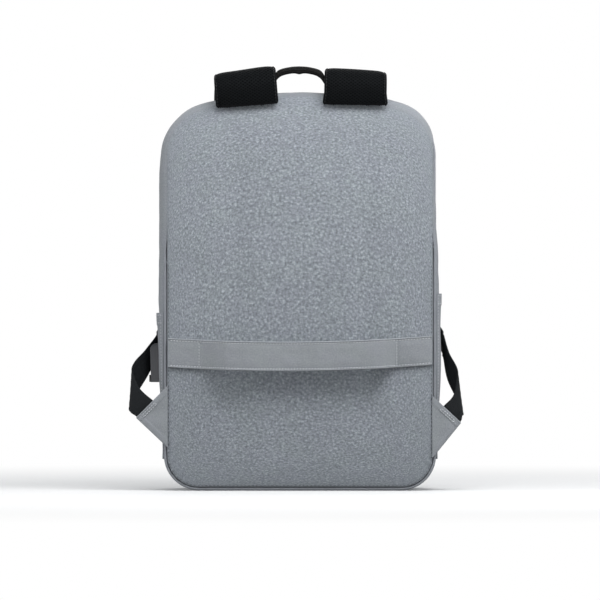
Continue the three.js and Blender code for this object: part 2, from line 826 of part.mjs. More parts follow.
function makeLoop(side) {
  const frame = lockFrame(side);
  const points = hairpin(frame, lockStart + lockBar / 2, -1, 2 * gap, 2 * gap);
  return webbingRibbon(flatStations(points, frame.across));
}

sides.forEach((side) => {
  addPiece(`ladder_lock_${side.name}`, makeLock(side), 'plastic');
  addPiece(`strap_loop_${side.name}`, makeLoop(side), 'webbing');
});

// Long webbing: from the lock round the side of the bag, folding outwards, to the tab in the seam.
// Reach is a share of how far the fold stands out of the wall, depth of half the bag's depth,
// and drop of the height between where it leaves the lock and where it passes the wall.

const pocketReach = seamHalfWidth + wallBulge + 2 * gap + clothWall + pocketFullness / 2;
const sideReach = pocketReach + 4 * gap + webbingThickness / 2;
const tabPlane = -(pipingDepth + pipingRadius + gap + tabThickness / 2);

function webbingPoints(side) {
  const frame = lockFrame(side);
  const own = tabTable[side.name];
  const start = frame.place(lockStart + lockLength + lockBar, 0, -barClearance);
  const emerges = webbingEmerges * bodyHeight;
  const foldHeight = own.foldHeight * bodyHeight;
  const onSide = (reach, depth, height) => new THREE.Vector3(
    side.sign * (sideReach + reach * own.fold), depth * halfDepth, height);
  const edgeMiddle = tabEdge(side);
  const points = [
    start,
    new THREE.Vector3(side.sign * 0.86 * sideReach, strapRest - 1.2, mix(emerges, start.z, 0.72)),
    new THREE.Vector3(side.sign * 0.965 * sideReach, 1.1 * halfDepth, mix(emerges, start.z, 0.46)),
    onSide(0.0, 0.78, mix(emerges, start.z, 0.28)),
    onSide(0.04, 0.3, mix(emerges, start.z, 0.12)),
    onSide(0.13, -0.06, emerges),
    onSide(0.42, -0.3, mix(emerges, foldHeight, 0.36)),
    onSide(0.82, -0.52, mix(emerges, foldHeight, 0.7)),
    onSide(1.0, -0.76, foldHeight),
    onSide(0.86, -0.93, mix(foldHeight, edgeMiddle.height, 0.45)),
    new THREE.Vector3(edgeMiddle.x, tabPlane + tabThickness / 2 + gap + webbingThickness, edgeMiddle.height),
    new THREE.Vector3(edgeMiddle.innerX, tabPlane + tabThickness / 2 + gap + webbingThickness / 2,
      edgeMiddle.innerHeight),
  ];
  return { points, frame };
}

// The upper edge of a tab, where the webbing leaves it, and a place a little way inside that edge

function tabEdge(side) {
  const own = tabTable[side.name];
  const root = seamHalfWidth + gap;
  const top = new THREE.Vector2(root, own.top);
  const point = new THREE.Vector2(root + own.reach, own.point);
  const run = point.clone().sub(top).normalize();
  const inward = new THREE.Vector2(-run.y, run.x).multiplyScalar(-1);
  const middle = point.clone().addScaledVector(run, -webbingWidth / 2 - 1.2);
  const inner = middle.clone().addScaledVector(inward, 7);
  return {
    x: side.sign * middle.x,
    height: middle.y,
    innerX: side.sign * inner.x,
    innerHeight: inner.y,
    run,
  };
}

function makeWebbing(side) {
  const { points, frame } = webbingPoints(side);
  const edge = tabEdge(side);
  const upright = new THREE.Vector3(0, 0, 1);
  const lean = (amount) => new THREE.Vector3(side.sign * amount, 0, 1).normalize();
  const atTab = new THREE.Vector3(-side.sign * edge.run.x, 0, -edge.run.y);
  const hints = [
    frame.across.clone(), lean(0.3), upright, upright, lean(0.04), lean(0.12), lean(0.32),
    lean(0.25), upright, lean(-0.5), atTab, atTab,
  ];
  const lastBar = lockStart + lockLength - lockBar / 2;
  const tailEnd = lastBar + tailLength;
  const bent = hairpin(frame, lastBar, 1, tailEnd, lockStart + lockLength);
  const route = routeStations(points, hints, 42);
  return webbingRibbon([...flatStations(bent, frame.across), ...route]);
}

function makeTab(side) {
  const own = tabTable[side.name];
  const root = seamHalfWidth + gap;
  const outline = new THREE.Shape();
  outline.moveTo(side.sign * root, own.top);
  outline.lineTo(side.sign * (root + own.reach), own.point);
  outline.lineTo(side.sign * root, own.bottom);
  const geometry = new THREE.ExtrudeGeometry(outline, { depth: tabThickness, bevelEnabled: false });
  geometry.rotateX(Math.PI / 2);
  geometry.translate(0, tabPlane + tabThickness / 2, 0);
  return geometry;
}

sides.forEach((side) => {
  addPiece(`strap_webbing_${side.name}`, makeWebbing(side), 'webbing');
  addPiece(`webbing_tab_${side.name}`, makeTab(side), 'cloth');
});

// Grab handle: a rolled arch whose flat ends are sewn to the top wall

function makeHandle() {
  const shares = [...handleByWidth.slice(1).map((row) => ({ ...row, across: -row.across })).reverse(), ...handleByWidth];
  const bulge = bulgeAt(bodyHeight);
  const points = shares.map((row) => {
    const x = handleAside + row.across * handleHalfSpan;
    const thickness = row.thickness * handleThickness;
    const ground = archCentre + Math.sqrt((topArchRadius + bulge) ** 2 - x ** 2) + gap;
    const seat = ground + handleEndThickness / 2;
    const crest = handleTop - thickness / 2;
    return new THREE.Vector3(x, handleDepth, mix(crest, seat, row.drop));
  });
  const stations = flatStations(points, new THREE.Vector3(0, 1, 0));
  const widths = stations.map(() => handleWidth / 2);
  const thicknesses = shares.map((row) => row.thickness * handleThickness / 2);
  return ribbon(stations, widths, thicknesses, 0.6, 4);
}

addPiece('grab_handle', makeHandle(), 'webbing');

export default backpack;
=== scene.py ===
# %% [markdown]
# A cloth laptop backpack with a flat padded back, mesh shoulder straps and a band that slips over a
# suitcase's pull-out handle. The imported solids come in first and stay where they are. Every soft solid
# is then given a finer piece in its place, and the hard ones get rounded edges and real finishes.

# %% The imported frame
import math

import bmesh
import bpy
from mathutils import Matrix, Vector, noise


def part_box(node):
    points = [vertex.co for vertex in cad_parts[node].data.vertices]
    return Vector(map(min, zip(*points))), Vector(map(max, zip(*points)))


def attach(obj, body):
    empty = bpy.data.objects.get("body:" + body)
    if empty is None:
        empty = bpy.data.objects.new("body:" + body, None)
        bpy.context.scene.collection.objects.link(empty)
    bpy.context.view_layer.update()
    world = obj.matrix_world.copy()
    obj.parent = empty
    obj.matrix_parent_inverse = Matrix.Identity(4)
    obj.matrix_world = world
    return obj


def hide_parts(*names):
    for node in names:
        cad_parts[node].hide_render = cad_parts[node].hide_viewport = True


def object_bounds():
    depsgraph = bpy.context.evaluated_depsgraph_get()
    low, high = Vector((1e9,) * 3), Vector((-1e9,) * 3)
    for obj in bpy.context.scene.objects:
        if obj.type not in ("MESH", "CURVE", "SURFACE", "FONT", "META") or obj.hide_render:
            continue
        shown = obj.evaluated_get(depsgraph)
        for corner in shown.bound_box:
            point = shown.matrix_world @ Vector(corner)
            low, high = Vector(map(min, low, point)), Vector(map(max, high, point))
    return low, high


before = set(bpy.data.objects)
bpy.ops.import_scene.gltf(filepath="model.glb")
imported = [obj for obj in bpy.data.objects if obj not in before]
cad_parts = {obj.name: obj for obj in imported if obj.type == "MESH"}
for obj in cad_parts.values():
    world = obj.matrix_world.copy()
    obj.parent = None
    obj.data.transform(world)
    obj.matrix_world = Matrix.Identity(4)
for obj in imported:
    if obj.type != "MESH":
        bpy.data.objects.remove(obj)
cad_box = [[float(value) for value in corner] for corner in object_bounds()]
print("CAD box in metres:", cad_box)

# %% [markdown]
# The picture is a long-lens product shot taken level, square on to the back panel. A long lens far away
# keeps the sides parallel, so the camera stands well back and the lens is chosen to fill the frame.

# %% Camera
MM = 0.001
view_width = 648 * MM
view_height = 206 * MM
camera_distance = 8
picture_plane = -66 * MM
sensor_width = 36

camera_data = bpy.data.cameras.new("camera")
camera_data.sensor_width = sensor_width
camera_data.lens = sensor_width * camera_distance / view_width
camera = bpy.data.objects.new("camera", camera_data)
camera.location = (0, picture_plane - camera_distance, view_height)
camera.rotation_euler = (math.radians(90), 0, 0)
bpy.context.collection.objects.link(camera)
bpy.context.scene.camera = camera
bpy.context.scene.view_settings.view_transform = "Standard"
print("lens:", round(camera_data.lens, 1), "mm")

# %% [markdown]
# The studio is a white room: a floor, a soft box above and in front, a wide one on each side, one
# behind, and a pale sky that keeps the shadows open. The bag is brighter at the top because the main
# soft box hangs over it.

# %% Lights and floor
def soft_box(name, place, aim, size, power):
    """An area light at a place, turned towards the point that it lights."""
    data = bpy.data.lights.new(name, "AREA")
    data.shape = "RECTANGLE"
    data.size, data.size_y = size
    data.energy = power
    lamp = bpy.data.objects.new(name, data)
    lamp.location = place
    direction = Vector(aim) - Vector(place)
    lamp.rotation_euler = direction.to_track_quat("-Z", "Y").to_euler()
    lamp.visible_camera = False
    bpy.context.collection.objects.link(lamp)
    return lamp


body_middle = (0, 0, 0.25)
upper_body = (0, 0, 0.42)
side_box_size = (0.8, 1.2)
lamps = [
    soft_box("main_box", place=(0.22, -0.62, 0.98), aim=upper_body, size=(0.9, 0.5), power=7.6),
    soft_box("side_left", place=(-1.9, -0.9, 0.7), aim=body_middle, size=side_box_size, power=12),
    soft_box("side_right", place=(1.9, -0.7, 0.7), aim=body_middle, size=side_box_size, power=11),
    soft_box("back_box", place=(0, 1.7, 1.6), aim=body_middle, size=(1.4, 1.0), power=9),
]
floor_size = 20
floor_drop = 0.3 * MM

floor_shape = bmesh.new()
bmesh.ops.create_grid(floor_shape, x_segments=2, y_segments=2, size=floor_size)
floor_mesh = bpy.data.meshes.new("studio_floor")
floor_shape.to_mesh(floor_mesh)
floor_shape.free()
studio_floor = bpy.data.objects.new("studio_floor", floor_mesh)
studio_floor.location.z = cad_box[0][2] - floor_drop
bpy.context.collection.objects.link(studio_floor)
studio_floor.visible_diffuse = False
print("lights:", [lamp.name for lamp in lamps])

# %% [markdown]
# A material here is a small sum: a base colour times some grain, a bump from the weave. Written as
# nodes by hand that is long, so one class wraps a socket and turns + - and * into Math nodes,
# and one method adds any other node from its type, its settings and its sockets.

# %% A socket that can be added and multiplied
class Wire:
    """One output socket of a material, or the material itself while nothing is wired yet."""

    def __init__(self, tree, socket=None):
        self.tree = tree
        self.socket = socket

    def node(self, kind, settings=None, sockets=None, out=0):
        """Adds a node: settings are its own properties, sockets its inputs by name or number."""
        made = self.tree.nodes.new(kind)
        for key, value in (settings or {}).items():
            if key == "stops":
                ramp = made.color_ramp
                while len(ramp.elements) < len(value):
                    ramp.elements.new(0.5)
                for element, (place, colour) in zip(ramp.elements, value):
                    element.position = place
                    element.color = (*colour, 1)
            else:
                setattr(made, key, value)
        for key, value in (sockets or {}).items():
            target = made.inputs[key]
            if isinstance(value, Wire):
                self.tree.links.new(value.socket, target)
            else:
                target.default_value = value
        return Wire(self.tree, made.outputs[out])

    def math(self, operation, *values):
        return self.node("ShaderNodeMath", {"operation": operation}, dict(enumerate(values)))

    def __add__(self, other):
        return self.math("ADD", self, other)

    def __radd__(self, other):
        return self.math("ADD", other, self)

    def __rsub__(self, other):
        return self.math("SUBTRACT", other, self)

    def __mul__(self, other):
        return self.math("MULTIPLY", self, other)

    def __rmul__(self, other):
        return self.math("MULTIPLY", other, self)


def ramp(value, low, high):
    """0 below low, 1 above high and smooth between, as a mask."""
    return value.node(
        "ShaderNodeMapRange",
        {"interpolation_type": "SMOOTHSTEP"},
        {"Value": value, "From Min": low, "From Max": high})


def blend(mask, first, second):
    """The first colour where the mask is 0 and the second where it is 1."""
    made = mask.tree.nodes.new("ShaderNodeMix")
    made.data_type = "RGBA"
    for socket, value in zip([made.inputs[0], made.inputs[6], made.inputs[7]], [mask, first, second]):
        if isinstance(value, Wire):
            mask.tree.links.new(value.socket, socket)
        else:
            socket.default_value = value
    return Wire(mask.tree, made.outputs[2])


def srgb(red, green, blue):
    """A colour as it is read off a screen, 0 to 255, turned into the linear light that shaders use."""
    def linear(value):
        value /= 255
        return value / 12.92 if value <= 0.04045 else ((value + 0.055) / 1.055) ** 2.4
    return (linear(red), linear(green), linear(blue), 1)


def new_material(name, roughness=0.8, **fixed):
    """A material with its shader, and a loose wire to start its sums from."""
    material = bpy.data.materials.new(name)
    material.use_nodes = True
    tree = material.node_tree
    shader = tree.nodes["Principled BSDF"]
    shader.inputs["Roughness"].default_value = roughness
    for key, value in fixed.items():
        shader.inputs[key.replace("_", " ")].default_value = value
    return material, Wire(tree), shader


def feed(shader, wire, socket):
    wire.tree.links.new(wire.socket, shader.inputs[socket])


def relief(shader, height, distance):
    """Height, 0 to 1, standing up by a distance in metres."""
    sockets = {"Height": height, "Distance": distance, "Strength": 1.0}
    feed(shader, height.node("ShaderNodeBump", {}, sockets), "Normal")


def on_cloth(start):
    """The piece's own UV map, which holds real distances in metres along the cloth."""
    return start.node("ShaderNodeTexCoord", out=2)


def on_object(start):
    """Distances in metres from the bag's origin."""
    return start.node("ShaderNodeTexCoord", out=3)


def grain(place, scale, detail=3, roughness=0.55):
    """Soft noise, scale in bumps to the metre."""
    return place.node(
        "ShaderNodeTexNoise", {"noise_dimensions": "3D"},
        {"Vector": place, "Scale": scale, "Detail": detail, "Roughness": roughness})


def pebbles(place, scale):
    """Cells, scale in cells to the metre: 0 in the middle of each and more towards its edge."""
    return place.node(
        "ShaderNodeTexVoronoi", {"feature": "F1", "distance": "EUCLIDEAN"}, {"Vector": place, "Scale": scale})


def woven_rows(place, scale, distortion, direction="X", detail=2):
    """Bands that lie side by side as threads do."""
    return place.node(
        "ShaderNodeTexWave", {"wave_type": "BANDS", "bands_direction": direction},
        {"Vector": place, "Scale": scale, "Distortion": distortion, "Detail": detail})


def turned_cloth(place, degrees):
    """The same cloth laid at an angle."""
    return place.node(
        "ShaderNodeMapping", {"vector_type": "POINT"},
        {"Vector": place, "Rotation": (0, 0, math.radians(degrees))})


# %% [markdown]
# The room is white paper. The floor glows white beyond a couple of metres, so it runs into the white
# behind it with no edge, as a paper roll does. The light from the room is paler from above than from
# below, because a suitcase's top isn't as bright as paper.

# %% White room
glow_starts = 0.35
glow_whole = 1.3


def floor_finish():
    """Matt white paper that fades into the white behind it."""
    material, start, shader = new_material("white_paper", 0.95)
    shader.inputs["Specular IOR Level"].default_value = 0.1
    place = on_object(start)
    fibres = grain(place, 60)
    feed(shader, blend(fibres, srgb(246, 246, 247), srgb(251, 251, 251)), "Base Color")
    away = place.node("ShaderNodeVectorMath", {"operation": "LENGTH"}, {0: place}, out=1)
    glow = place.node("ShaderNodeEmission", {}, {"Color": (1, 1, 1, 1), "Strength": 1.0})
    tree = material.node_tree
    both = tree.nodes.new("ShaderNodeMixShader")
    tree.links.new(ramp(away, glow_starts, glow_whole).socket, both.inputs[0])
    tree.links.new(shader.outputs[0], both.inputs[1])
    tree.links.new(glow.socket, both.inputs[2])
    tree.links.new(both.outputs[0], tree.nodes["Material Output"].inputs["Surface"])
    studio_floor.data.materials.append(material)
    return material


def white_room(above, below):
    """White where the camera sees it; as light, one grey from above that falls to another below."""
    world = bpy.data.worlds.new("white_room")
    world.use_nodes = True
    tree = world.node_tree
    start = Wire(tree)
    direction = start.node("ShaderNodeTexCoord", out=0)
    height = start.node("ShaderNodeSeparateXYZ", {}, {"Vector": direction}, out=2)
    light = blend(ramp(height, -0.35, 0.45), (*[below] * 3, 1), (above * 0.97, above * 0.99, above, 1))
    seen = start.node("ShaderNodeLightPath")
    colour = blend(seen, light, (1, 1, 1, 1))
    tree.links.new(colour.socket, tree.nodes["Background"].inputs["Color"])
    bpy.context.scene.world = world
    return world


print("room:", floor_finish().name, white_room(above=0.48, below=0.27).name)

# %% [markdown]
# The grey cloth is a melange: light and dark threads twisted together, so from near by it is pebbled
# and from far off it is one soft grey. A layer of cells and two of fine noise give the threads, two
# slow ones the cloudy patches, and the fine layers drive the bump. It is made three times, because the
# panels, the side walls and the sewn trims are cut from slightly different stock.

# %% Grey cloth
def grey_cloth(name, light, middle, dark, cells_per_metre, depth, contrast):
    material, start, shader = new_material(name, 0.86)
    shader.inputs["Sheen Weight"].default_value = 0.12
    shader.inputs["Sheen Roughness"].default_value = 0.5
    cloth = on_cloth(start)
    cells = pebbles(cloth, cells_per_metre)
    fine = grain(cloth, 3 * cells_per_metre, 2, 0.6)
    specks = grain(cloth, 0.9 * cells_per_metre, 2, 0.75)
    cloudy = grain(cloth, 22, 3, 0.6)
    warm = grain(cloth, 34, 2, 0.5)
    greener = [middle[0] * 0.985, middle[1] * 1.01, middle[2] * 0.97, 1]
    cool = blend(ramp(warm, 0.38, 0.62), middle, greener)
    tone = blend(ramp(cloudy, 0.3, 0.7) * 0.5, cool, [0.9 * v for v in middle[:3]] + [1])
    tone = blend(ramp(specks, 0.5, 0.72) * 0.6 * contrast, tone, light)
    tone = blend(ramp(specks, 0.5, 0.3) * 0.55 * contrast, tone, dark)
    tone = blend(ramp(cells, 0.35, 0.75) * 0.3 * contrast, tone, dark)
    feed(shader, tone, "Base Color")
    feed(shader, 0.82 + 0.12 * fine, "Roughness")
    height = (1 - cells) * 0.55 + specks * 0.3 + fine * 0.15
    relief(shader, height, depth)
    return material


cloth = grey_cloth(
    "grey_cloth", srgb(190, 197, 206), srgb(149, 155, 163), srgb(98, 103, 111),
    cells_per_metre=520, depth=0.3 * MM, contrast=1.3)
wall_cloth = grey_cloth(
    "grey_wall_cloth", srgb(164, 168, 175), srgb(144, 148, 155), srgb(118, 122, 129),
    cells_per_metre=720, depth=0.16 * MM, contrast=0.8)
trim_cloth = grey_cloth(
    "grey_trim_cloth", srgb(172, 177, 183), srgb(151, 155, 161), srgb(124, 128, 134),
    cells_per_metre=780, depth=0.16 * MM, contrast=0.8)
print("cloths:", cloth.name, wall_cloth.name, trim_cloth.name)

# %% [markdown]
# Piping is a cord wrapped in bias-cut cloth: a little paler than the panels, with the weave running
# slantwise. Thread is waxed and catches a soft highlight.

# %% Piping and thread
def piping_finish():
    material, start, shader = new_material("grey_piping", 0.72)
    cloth_place = on_cloth(start)
    rows = woven_rows(turned_cloth(cloth_place, 45), 190, 1.5)
    cloudy = grain(cloth_place, 120, 2)
    feed(shader, blend(cloudy, srgb(136, 140, 147), srgb(152, 156, 163)), "Base Color")
    relief(shader, rows, 0.15 * MM)
    return material


def thread_finish(name, colour, darker):
    material, start, shader = new_material(name, 0.55)
    twist = grain(on_object(start), 1500, 1)
    feed(shader, blend(twist, darker, colour), "Base Color")
    return material


piping_cloth = piping_finish()
pale_thread = thread_finish("pale_thread", srgb(226, 229, 234), srgb(196, 200, 206))
grey_thread = thread_finish("grey_thread", srgb(110, 114, 120), srgb(78, 82, 88))
black_thread = thread_finish("black_thread", srgb(44, 45, 48), srgb(22, 23, 25))
print("sewing:", piping_cloth.name, pale_thread.name)

# %% [markdown]
# The straps are faced with spacer mesh, a knitted net of round holes over black foam. The holes stand
# in staggered rows, in the bump and in the colour, with the knit's own fine loops between them. The
# holes are coloured darker than the net as painted shade: the shade that falls into each hole.

# %% Strap mesh, strap edge and webbing
mesh_pitch = 4.7 * MM
mesh_row_spacing = 3.6 * MM


def strap_mesh_finish():
    material, start, shader = new_material("black_spacer_mesh", 0.75)
    shader.inputs["Specular IOR Level"].default_value = 0.07
    place = on_cloth(start)
    holes = holes_in_rows(place, mesh_pitch, mesh_row_spacing)
    loops = grain(place, 2200, 2)
    net = ramp(holes, 0.55, 1.0)
    # Painted shade: the holes get a darker base colour than the net, as if shade fell into them.
    feed(shader, blend(net, srgb(3, 4, 5), srgb(17, 19, 21)), "Base Color")
    feed(shader, 0.95 - 0.2 * net, "Roughness")
    relief(shader, net * 0.85 + loops * 0.15, 0.8 * MM)
    return material


def holes_in_rows(place, pitch_across, row_spacing):
    """0 in the middle of each round hole and 1 or more between them, holes in staggered rows."""
    parts = place.node("ShaderNodeSeparateXYZ", {}, {"Vector": place})
    across = Wire(place.tree, parts.socket.node.outputs[0])
    along = Wire(place.tree, parts.socket.node.outputs[1])
    turn = 2 * math.pi

    def wave(value):
        return value.math("COSINE", value)

    return 1 - wave(across * (turn / pitch_across)) * wave(along * (turn / 2 / row_spacing))


def strap_edge_finish():
    material, start, shader = new_material("black_binding", 0.7)
    place = on_cloth(start)
    rows = woven_rows(place, 260, 0.6, "Y")
    shader.inputs["Specular IOR Level"].default_value = 0.08
    feed(shader, blend(rows, srgb(7, 8, 10), srgb(15, 16, 18)), "Base Color")
    relief(shader, rows, 0.15 * MM)
    return material


def webbing_finish(name, dark, light):
    """Flat nylon webbing: a fine herringbone on each rib."""
    material, start, shader = new_material(name, 0.62)
    shader.inputs["Specular IOR Level"].default_value = 0.14
    place = on_cloth(start)
    threads = woven_rows(turned_cloth(place, 28), 230, 0.8, "Y", detail=1)
    fuzz = grain(place, 1400, 2)
    weave = threads * 0.7 + fuzz * 0.3
    feed(shader, blend(weave, dark, light), "Base Color")
    feed(shader, 0.56 + 0.16 * fuzz, "Roughness")
    relief(shader, weave, 0.25 * MM)
    return material


strap_mesh = strap_mesh_finish()
strap_edge = strap_edge_finish()
webbing = webbing_finish("charcoal_webbing", srgb(14, 16, 18), srgb(40, 43, 46))
handle_webbing = webbing_finish("black_handle_webbing", srgb(12, 12, 12), srgb(30, 29, 28))
print("strap finishes:", strap_mesh.name, strap_edge.name, webbing.name)

# %% [markdown]
# Hard parts are moulded: the port housing and the adjusters in dark plastic with a fine spark-eroded
# grain, the zip coil in nylon, its sliders in plated metal rubbed brighter in patches.

# %% Plastic, zip and metal
def moulded(name, colour, paler, roughness, scale=900, gloss=0.0):
    material, start, shader = new_material(name, roughness, Coat_Weight=gloss, Coat_Roughness=0.12)
    place = on_object(start)
    fine = grain(place, scale, 2)
    slow = grain(place, 70, 3)
    feed(shader, blend(slow, colour, paler), "Base Color")
    feed(shader, roughness - 0.06 + 0.12 * fine, "Roughness")
    relief(shader, fine, 0.06 * MM)
    return material


def plated(name):
    material, start, shader = new_material(name, 0.3, Metallic=0.9)
    place = on_object(start)
    rubbed = ramp(grain(place, 260, 3), 0.45, 0.7)
    feed(shader, blend(rubbed, srgb(70, 72, 76), srgb(128, 130, 134)), "Base Color")
    feed(shader, 0.42 - 0.18 * rubbed, "Roughness")
    return material


port_plastic = moulded("dark_port_plastic", srgb(38, 40, 45), srgb(52, 55, 61), 0.34, gloss=0.6)
socket_plastic = moulded("black_socket_plastic", srgb(12, 12, 14), srgb(22, 22, 24), 0.4)
buckle_plastic = moulded("black_buckle_plastic", srgb(22, 23, 25), srgb(36, 37, 40), 0.42)
zip_coil = moulded("black_zip_coil", srgb(22, 23, 25), srgb(40, 41, 44), 0.45)
zip_tape = strap_edge_finish()
zip_tape.name = "black_zip_tape"
slider_metal = plated("gunmetal_slider")
contact_metal = plated("port_contacts")
print("hard finishes:", port_plastic.name, buckle_plastic.name, zip_coil.name, slider_metal.name)

# %% [markdown]
# Cloth pieces all start the same way: a flat grid, as cloth comes off the bolt, with its real size in
# the UV map. Each vertex is then moved to its place on the bag. A wall gets its thickness from Solidify
# at the end, so the weave keeps its scale however the cloth is bent.

# %% From a flat grid to a sewn piece
middle_of_bag = Vector((0, 0, 0.22))
most_sides = 400


def mix(first, second, share):
    return first + (second - first) * share


def smooth(value, low, high):
    share = min(1, max(0, (value - low) / (high - low)))
    return share * share * (3 - 2 * share)


def curve_through(pairs):
    """A smooth function through (place, value) pairs that never overshoots them."""
    steps = [(after[1] - before[1]) / (after[0] - before[0]) for before, after in zip(pairs, pairs[1:])]
    slopes = [steps[0]]
    for before, after in zip(steps, steps[1:]):
        slopes.append(2 * before * after / (before + after) if before * after > 0 else 0)
    slopes.append(steps[-1])

    def value_at(place):
        if place <= pairs[0][0]:
            return pairs[0][1]
        for index, (start, end) in enumerate(zip(pairs, pairs[1:])):
            if place <= end[0]:
                width = end[0] - start[0]
                t = (place - start[0]) / width
                return ((1 + 2 * t) * (1 - t) ** 2 * start[1] + t * (1 - t) ** 2 * width * slopes[index]
                        + t * t * (3 - 2 * t) * end[1] + t * t * (t - 1) * width * slopes[index + 1])
        return pairs[-1][1]

    return value_at


def bent(value, power):
    """A sine or cosine raised to a power, its sign kept: it squares off a round section."""
    return math.copysign(abs(value) ** power, value)


def ripple(place, size, seed=0):
    """Soft noise from -1 to 1 at a place in millimetres, with folds of the given size."""
    return 2 * noise.noise(Vector(place) / size + Vector((seed * 7.3, seed * 3.1, seed * 5.7)))


def set_down(shape, name, finish, instead_of=(), wall=0, offset=-1, crease=55, even=True):
    """Makes the bmesh a piece that rides on the bag, with its modifiers applied."""
    mesh = bpy.data.meshes.new(name)
    shape.to_mesh(mesh)
    shape.free()
    piece = bpy.data.objects.new(name, mesh)
    bpy.context.collection.objects.link(piece)
    for one in finish if isinstance(finish, (list, tuple)) else [finish]:
        mesh.materials.append(one)
    if wall:
        thick = piece.modifiers.new("wall", "SOLIDIFY")
        thick.thickness = wall * MM
        thick.offset = offset
        thick.use_even_offset = even
        thick.thickness_clamp = 1
    baked = bpy.data.meshes.new_from_object(piece.evaluated_get(bpy.context.evaluated_depsgraph_get()))
    piece.modifiers.clear()
    piece.data = baked
    baked.name = name
    baked.shade_smooth()
    baked.set_sharp_from_angle(angle=math.radians(crease))
    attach(piece, "root")
    if instead_of:
        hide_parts(*instead_of)
    return piece


def cloth_grid(across, along, real, place, joined=False, outward_from=middle_of_bag, flat_place=None):
    """A grid laid by place(u, v), in millimetres; real is its flat size, kept in the UV map, or
    flat_place(u, v) gives each corner's own place on the flat cloth."""
    shape = bmesh.new()
    bmesh.ops.create_grid(shape, x_segments=across, y_segments=along, size=0.5, calc_uvs=True)
    layer = shape.loops.layers.uv.verify()
    for face in shape.faces:
        for corner in face.loops:
            flat = corner.vert.co
            u, v = flat.x + 0.5, flat.y + 0.5
            spot = flat_place(u, v) if flat_place else (u * real[0], v * real[1])
            corner[layer].uv = (spot[0] * MM, spot[1] * MM)
    for vertex in shape.verts:
        vertex.co = Vector(place(vertex.co.x + 0.5, vertex.co.y + 0.5)) * MM
    if joined:
        bmesh.ops.remove_doubles(shape, verts=shape.verts, dist=1e-6)
        if not any(edge.is_boundary for edge in shape.edges):
            bmesh.ops.recalc_face_normals(shape, faces=shape.faces)
            return shape
    shape.normal_update()
    if outward_from:
        facing = sum(
            face.calc_area() * face.normal.dot(face.calc_center_median() - outward_from)
            for face in shape.faces)
        if facing < 0:
            bmesh.ops.reverse_faces(shape, faces=shape.faces)
    return shape


def close_up(shape, weld=0):
    """Joins corners nearer than weld, in millimetres, fills open ends and turns the faces outwards."""
    if weld:
        bmesh.ops.remove_doubles(shape, verts=shape.verts, dist=weld * MM)
    open_edges = [edge for edge in shape.edges if edge.is_boundary]
    bmesh.ops.holes_fill(shape, edges=open_edges, sides=most_sides)
    bmesh.ops.recalc_face_normals(shape, faces=shape.faces)


# %% [markdown]
# Stitches are little grains of thread lying in the cloth. One grain is made once with a few faces and
# repeated along a line, at the pitch that the real seam has.

# %% Rows of stitches
thread_flatness = 0.7


def bead(name, size, on_its_side=False):
    """A small round grain of a size in millimetres, to be repeated."""
    shape = bmesh.new()
    bmesh.ops.create_uvsphere(shape, u_segments=6, v_segments=4, radius=0.5)
    if on_its_side:
        bmesh.ops.rotate(shape, verts=shape.verts, matrix=Matrix.Rotation(math.radians(90), 3, "Y"))
    bmesh.ops.scale(shape, verts=shape.verts, vec=Vector(size) * MM)
    mesh = bpy.data.meshes.new(name)
    shape.to_mesh(mesh)
    shape.free()
    return mesh


def grain_of_thread(length, width):
    return bead("grain_of_thread", (length, width, width * thread_flatness), on_its_side=True)


def frame_at(point, along, normal):
    """A matrix whose x axis runs along and whose z axis stands off the cloth."""
    x = Vector(along).normalized()
    z = (Vector(normal) - x * x.dot(Vector(normal))).normalized()
    y = z.cross(x)
    turn = Matrix((x, y, z)).transposed().to_4x4()
    return Matrix.Translation(Vector(point) * MM) @ turn


def repeated(template, places, name, finish, instead_of=()):
    """One piece made of the same small mesh at many places. The mesh itself is thrown away."""
    gathered = bmesh.new()
    for place in places:
        copy = template.copy()
        copy.transform(place)
        gathered.from_mesh(copy)
        bpy.data.meshes.remove(copy)
    bpy.data.meshes.remove(template)
    return set_down(gathered, name, finish, instead_of)


def stitch_places(line, pitch, outward):
    """Places for stitches along a list of points: outward(point) gives the way off the cloth."""
    places = []
    carried = pitch / 2
    for before, after in zip(line, line[1:]):
        before, after = Vector(before), Vector(after)
        length = (after - before).length
        while carried < length:
            point = before.lerp(after, carried / length)
            places.append(frame_at(point, after - before, outward(point)))
            carried += pitch
        carried -= length
    return places


def stitches(name, lines, outward, finish, pitch=3.2, length=2.4, width=0.7):
    places = [place for line in lines for place in stitch_places(line, pitch, outward)]
    print(name, len(places), "stitches")
    return repeated(grain_of_thread(length, width), places, name, finish)


# %% [markdown]
# The bag's outline is one seam line: a flat bottom with round corners, straight sides and a top that
# is a wide arch between two larger corners. Both panels and all the side walls are cut to it, so it is
# written once, as a list of stations that know which way is out.

# %% The seam line
seam_half_width = 143.5
seam_bottom = 4
seam_top = 426
top_corner_radius = 50
bottom_corner_radius = 34
top_arch_radius = 381
half_depth = 60
gap = 0.4
cloth_wall = 1.6
piping_radius = 1.6
piping_depth = half_depth - 3
cover_starts = 215
cover_whole = 300
cover_lift = -0.5
cover_depth = 2
wall_step = 4

top_corner_across = seam_half_width - top_corner_radius
arch_centre = seam_top - top_arch_radius
corner_from_arch_centre = top_arch_radius - top_corner_radius
top_corner_height = arch_centre + math.sqrt(corner_from_arch_centre ** 2 - top_corner_across ** 2)
arch_start = math.atan2(top_corner_height - arch_centre, top_corner_across)
bottom_corner_across = seam_half_width - bottom_corner_radius
bottom_corner_height = seam_bottom + bottom_corner_radius


def arc(centre, radius, start, end, spacing):
    steps = max(2, round(abs(end - start) * radius / spacing))
    turns = [mix(start, end, step / steps) for step in range(steps + 1)]
    ways = [(math.cos(turn), math.sin(turn)) for turn in turns]
    return [(centre[0] + radius * out_x, centre[1] + radius * out_z, out_x, out_z) for out_x, out_z in ways]


def upright(x, low, high, spacing):
    steps = max(2, round((high - low) / spacing))
    return [(x, mix(low, high, step / steps), 1, 0) for step in range(steps + 1)]


